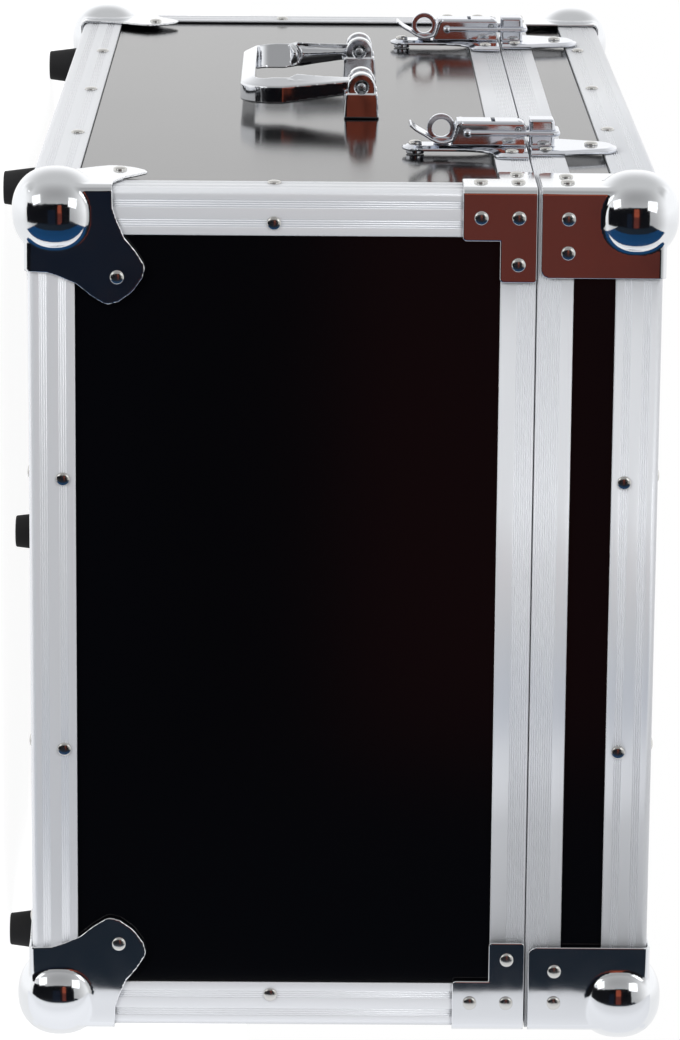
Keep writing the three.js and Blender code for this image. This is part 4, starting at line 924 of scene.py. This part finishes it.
def hinge_leaf(name, first, away):
    """One leaf with every other knuckle; away is +1 for the lid's leaf and -1 for the base's."""
    length = 2 * HINGE_HALF / KNUCKLES

    def field(p):
        x, h, z = p[:, 0], p[:, 1], p[:, 2] * away
        strip = np.abs(h - HINGE_SHEET[0]) - HINGE_SHEET[1]
        whole = meet(strip, np.maximum(np.abs(x) - HINGE_HALF, np.abs(z - LEAF_MIDDLE) - LEAF_HALF), 0.3)
        around = np.hypot(h - HINGE_AXIS, z)
        for i in range(first, KNUCKLES, 2):
            middle = -HINGE_HALF + (i + 0.5) * length
            across = np.abs(x - middle) - length / 2 + 0.15
            knuckle = meet(around - KNUCKLE_RADIUS, across, 0.3)
            tail = meet(strip, np.maximum(across, np.abs(z - 2.8) - 2.8), 0.2)
            whole = np.minimum(whole, np.minimum(knuckle, tail))
        return np.maximum(whole, HINGE_PIN + 0.15 - around)

    return field_mesh(name, field, (-32, 0, min(0, away * 16) - 4), (32, 8, max(0, away * 16) + 4), 0.5)


base_leaf, lid_leaf = hinge_leaf("hinge_base_leaf", 0, -1), hinge_leaf("hinge_lid_leaf", 1, 1)
pin_end, head = HINGE_HALF + 1.5, HINGE_HALF + 0.2
pin_tip = [(0, -pin_end), (2.4, -pin_end), (3, -pin_end + 0.5), (3, -head), (HINGE_PIN, -head)]
hinge_pin = turned("hinge_pin", pin_tip + [(radius, -z) for radius, z in reversed(pin_tip)], 32)
hinge_z = SEAM_Z + SEAM_GAP / 2
for side, x in (("left", -LATCH_X), ("right", LATCH_X)):
    spot = shift(x, high.y, hinge_z)
    for body, mesh, away in (("base", base_leaf, -1), ("lid", lid_leaf, 1)):
        name = f"hinge_{body}_leaf_{side}"
        place_at(spot, mesh, name + "_strip", body, "steel", [name], zinc)
        seat, z = high.y + sum(HINGE_SHEET), hinge_z + away * LEAF_MIDDLE
        rivets(f"hinge_{body}_{side}_rivets", body, [((x + dx, seat, z), (0, 1, 0)) for dx in HINGE_RIVETS])
    name = f"hinge_pin_{side}"
    spot = shift(x, high.y + HINGE_AXIS, hinge_z) @ ACROSS
    place_at(spot, hinge_pin, name + "_turned", "base", "steel", [name], zinc)

# Stage
# A white floor and a bright room. Bare chrome shows whatever stands before it, so the end of the case faces
# what a product shot has there: a strip of white table, soft boxes at both sides and a dim room behind.
FLOOR_HALF = 9.0  # in metres, like all sizes of the stage
CLOUDINESS = 0.3


def empty_nodes(owner):
    owner.use_nodes = True
    owner.node_tree.nodes.clear()
    return owner, owner.node_tree


def card(name, corners, colour, strength=1.0):
    """A flat sheet that gives off an even, slightly cloudy colour and is only seen in reflections."""
    material, tree = empty_nodes(bpy.data.materials.new(name + "_glow"))
    mist = add_node(tree, "ShaderNodeTexNoise", Scale=1.4, Detail=1.0)
    spread = add_node(tree, "ShaderNodeMapRange", Value=(mist, "Fac"),
                      To_Min=strength * (1 - CLOUDINESS), To_Max=strength * (1 + CLOUDINESS))
    glow = add_node(tree, "ShaderNodeEmission", Color=linear(colour), Strength=(spread, "Result"))
    add_node(tree, "ShaderNodeOutputMaterial", Surface=(glow, "Emission"))
    piece = sheet(name, corners, material)
    piece.visible_camera = piece.visible_diffuse = piece.visible_shadow = False
    piece.visible_transmission = piece.visible_volume_scatter = False


def sheet(name, corners, material):
    mesh = bpy.data.meshes.new(name)
    mesh.from_pydata(corners, [], [(0, 1, 2, 3)])
    mesh.materials.append(material)
    piece = bpy.data.objects.new(name, mesh)
    bpy.context.scene.collection.objects.link(piece)
    return piece


# White floor paper: half of its light is its own, so it stays white to the eye and still takes the shadow
paper, tree = empty_nodes(bpy.data.materials.new("white_floor_paper"))
tooth = add_node(tree, "ShaderNodeTexNoise", Scale=400.0, Detail=2.0)
spread = add_node(tree, "ShaderNodeMapRange", Value=(tooth, "Fac"), To_Min=0.8, To_Max=1.0)
dull = add_node(tree, "ShaderNodeBsdfDiffuse", Color=(0.35, 0.35, 0.35, 1), Roughness=(spread, "Result"))
lit = add_node(tree, "ShaderNodeEmission", Color=(1, 1, 1, 1), Strength=0.94)
both = tree.nodes.new("ShaderNodeAddShader")
tree.links.new(dull.outputs["BSDF"], both.inputs[0])
tree.links.new(lit.outputs["Emission"], both.inputs[1])
add_node(tree, "ShaderNodeOutputMaterial", Surface=(both, "Shader"))
f = FLOOR_HALF
floor = sheet("floor_paper", [(-f, -f, 0), (f, -f, 0), (f, f, 0), (-f, f, 0)], paper)
floor.visible_glossy = floor.visible_shadow = False

# What the end of the case sees, as far as reflections go: table edge, blue floor, brown door, dim wall
CARDS = {  # two opposite corners and the colour of each
    "table_edge": ((0.301, 0.222, -0.3), (0.385, 0.222, 0.65), "#f2f3f6"),
    "blue_floor": ((0.6, 1.0, -2), (1.9, 1.0, 2.5), "#183f66"),
    "dark_floor": ((1.9, 1.0, -2), (4, 1.0, 2.5), "#1b232c"),
    "dim_wall": ((3.3, -1.1, -1.5), (3.3, 1.0, 1.8), "#0b0c10"),
    "brown_door": ((3.25, 0.0, 0.184), (3.25, 0.95, 0.56), "#623029"),
    "brown_beam": ((3.25, -0.9, 0.184), (3.25, 0.0, 0.56), "#964a36"),
    "navy_coat": ((3.25, -0.3, -0.6), (3.25, 0.95, -0.02), "#131a26"),
}
for name, ((x0, y0, z0), (x1, y1, z1), colour) in CARDS.items():
    card(name, [(x0, y0, z0), (x1, y1, z0), (x1, y1, z1), (x0, y0, z1)], colour)
card("dim_side", [(3.3, -1.0, -1.5), (3.3, 1.0, -1.5), (1.5, 1.0, -3.6), (1.5, -1.0, -3.6)], "#0b0c10")

# The room: white all round to the eye; reflections find it white behind the case, grey above, dim in front
bpy.context.scene.world, tree = empty_nodes(bpy.data.worlds.new("bright_room"))
path = tree.nodes.new("ShaderNodeLightPath")
place_of = add_node(tree, "ShaderNodeTexCoord")
direction = add_node(tree, "ShaderNodeSeparateXYZ", Vector=(place_of, "Generated"))
mirror = None
for axis, curve, start, end, first, last in (("X", "SMOOTHSTEP", 0.0, 0.92, 1.0, 0.42),
                                             ("Y", "LINEAR", 0.02, 0.25, 1.0, 0.84),
                                             ("Y", "SMOOTHSTEP", -0.95, -0.22, 0.62, 1.14)):
    dim = add_node(tree, "ShaderNodeMapRange", {"interpolation_type": curve}, Value=(direction, axis),
                   From_Min=start, From_Max=end, To_Min=first, To_Max=last)
    result = dim.outputs["Result"]
    if mirror:
        both = add_node(tree, "ShaderNodeMath", {"operation": "MULTIPLY"})
        tree.links.new(mirror, both.inputs[0])
        tree.links.new(result, both.inputs[1])
        result = both.outputs["Value"]
    mirror = result
seen = add_node(tree, "ShaderNodeMath", {"operation": "ADD", "use_clamp": True})
tree.links.new(path.outputs["Is Camera Ray"], seen.inputs[0])
tree.links.new(path.outputs["Is Transmission Ray"], seen.inputs[1])
plain = add_node(tree, "ShaderNodeMapRange", Value=(seen, "Value"), To_Min=0.6, To_Max=1.0)
strength = add_node(tree, "ShaderNodeMix", {"data_type": "FLOAT"})
tree.links.new(path.outputs["Is Glossy Ray"], strength.inputs[0])
tree.links.new(plain.outputs["Result"], strength.inputs[2])
tree.links.new(mirror, strength.inputs[3])
room = add_node(tree, "ShaderNodeBackground", Color=(1, 1, 1, 1), Strength=(strength, "Result"))
add_node(tree, "ShaderNodeOutputWorld", Surface=(room, "Background"))


CLOTH_GLOW = 1.5


def lamp(name, at, towards, size, power):
    light = bpy.data.lights.new(name, "AREA")
    light.shape = "SQUARE"
    light.size = size
    light.energy = power
    piece = bpy.data.objects.new(name, light)
    piece.location = at
    piece.rotation_mode = "QUATERNION"
    piece.rotation_quaternion = (Vector(towards) - Vector(at)).to_track_quat("-Z", "Y")
    piece.visible_camera = piece.visible_glossy = False
    bpy.context.scene.collection.objects.link(piece)
    turn = piece.rotation_quaternion.to_matrix()
    square = ((-1, -1), (1, -1), (1, 1), (-1, 1))
    corners = [Vector(at) + turn @ Vector((a, b, 0)) * size / 2 for a, b in square]
    card(name + "_cloth", corners, "#ffffff", CLOTH_GLOW)


lamp("soft_box_left", (2.0, -1.3, -1.7), (0.3, 0, 0.1), 1.1, 58)
lamp("soft_box_right", (2.3, -1.05, 1.8), (0.3, 0, 0.2), 1.2, 64)

# The camera looks along the case from its right end, with the front upwards in the picture
FOCAL, PHOTO_HEIGHT, SENSOR = 4749.2, 1040, 36
TILT, TURN, LEAN = math.radians(13.7035), math.radians(0.3987), math.radians(0.3823)
EYE = (2.4706, -0.5696, 0.1472)
ahead, right, up = Vector((-1, 0, 0)), Vector((0, 0, 1)), Vector((0, -1, 0))


def turned_towards(a, b, angle):
    """Two axes turned in their own plane, the first towards the second."""
    return a * math.cos(angle) + b * math.sin(angle), b * math.cos(angle) - a * math.sin(angle)


ahead, up = turned_towards(ahead, up, -TILT)
ahead, right = turned_towards(ahead, right, TURN)
right, up = turned_towards(right, up, LEAN)
lens = bpy.data.cameras.new("camera")
lens.sensor_fit = "VERTICAL"
lens.sensor_height = SENSOR
lens.lens = FOCAL * SENSOR / PHOTO_HEIGHT
camera = bpy.data.objects.new("camera", lens)
bpy.context.scene.collection.objects.link(camera)
camera.matrix_world = Matrix((right, up, -ahead)).transposed().to_4x4()
camera.location = EYE
bpy.context.scene.camera = camera
bpy.context.scene.view_settings.view_transform = "Standard"
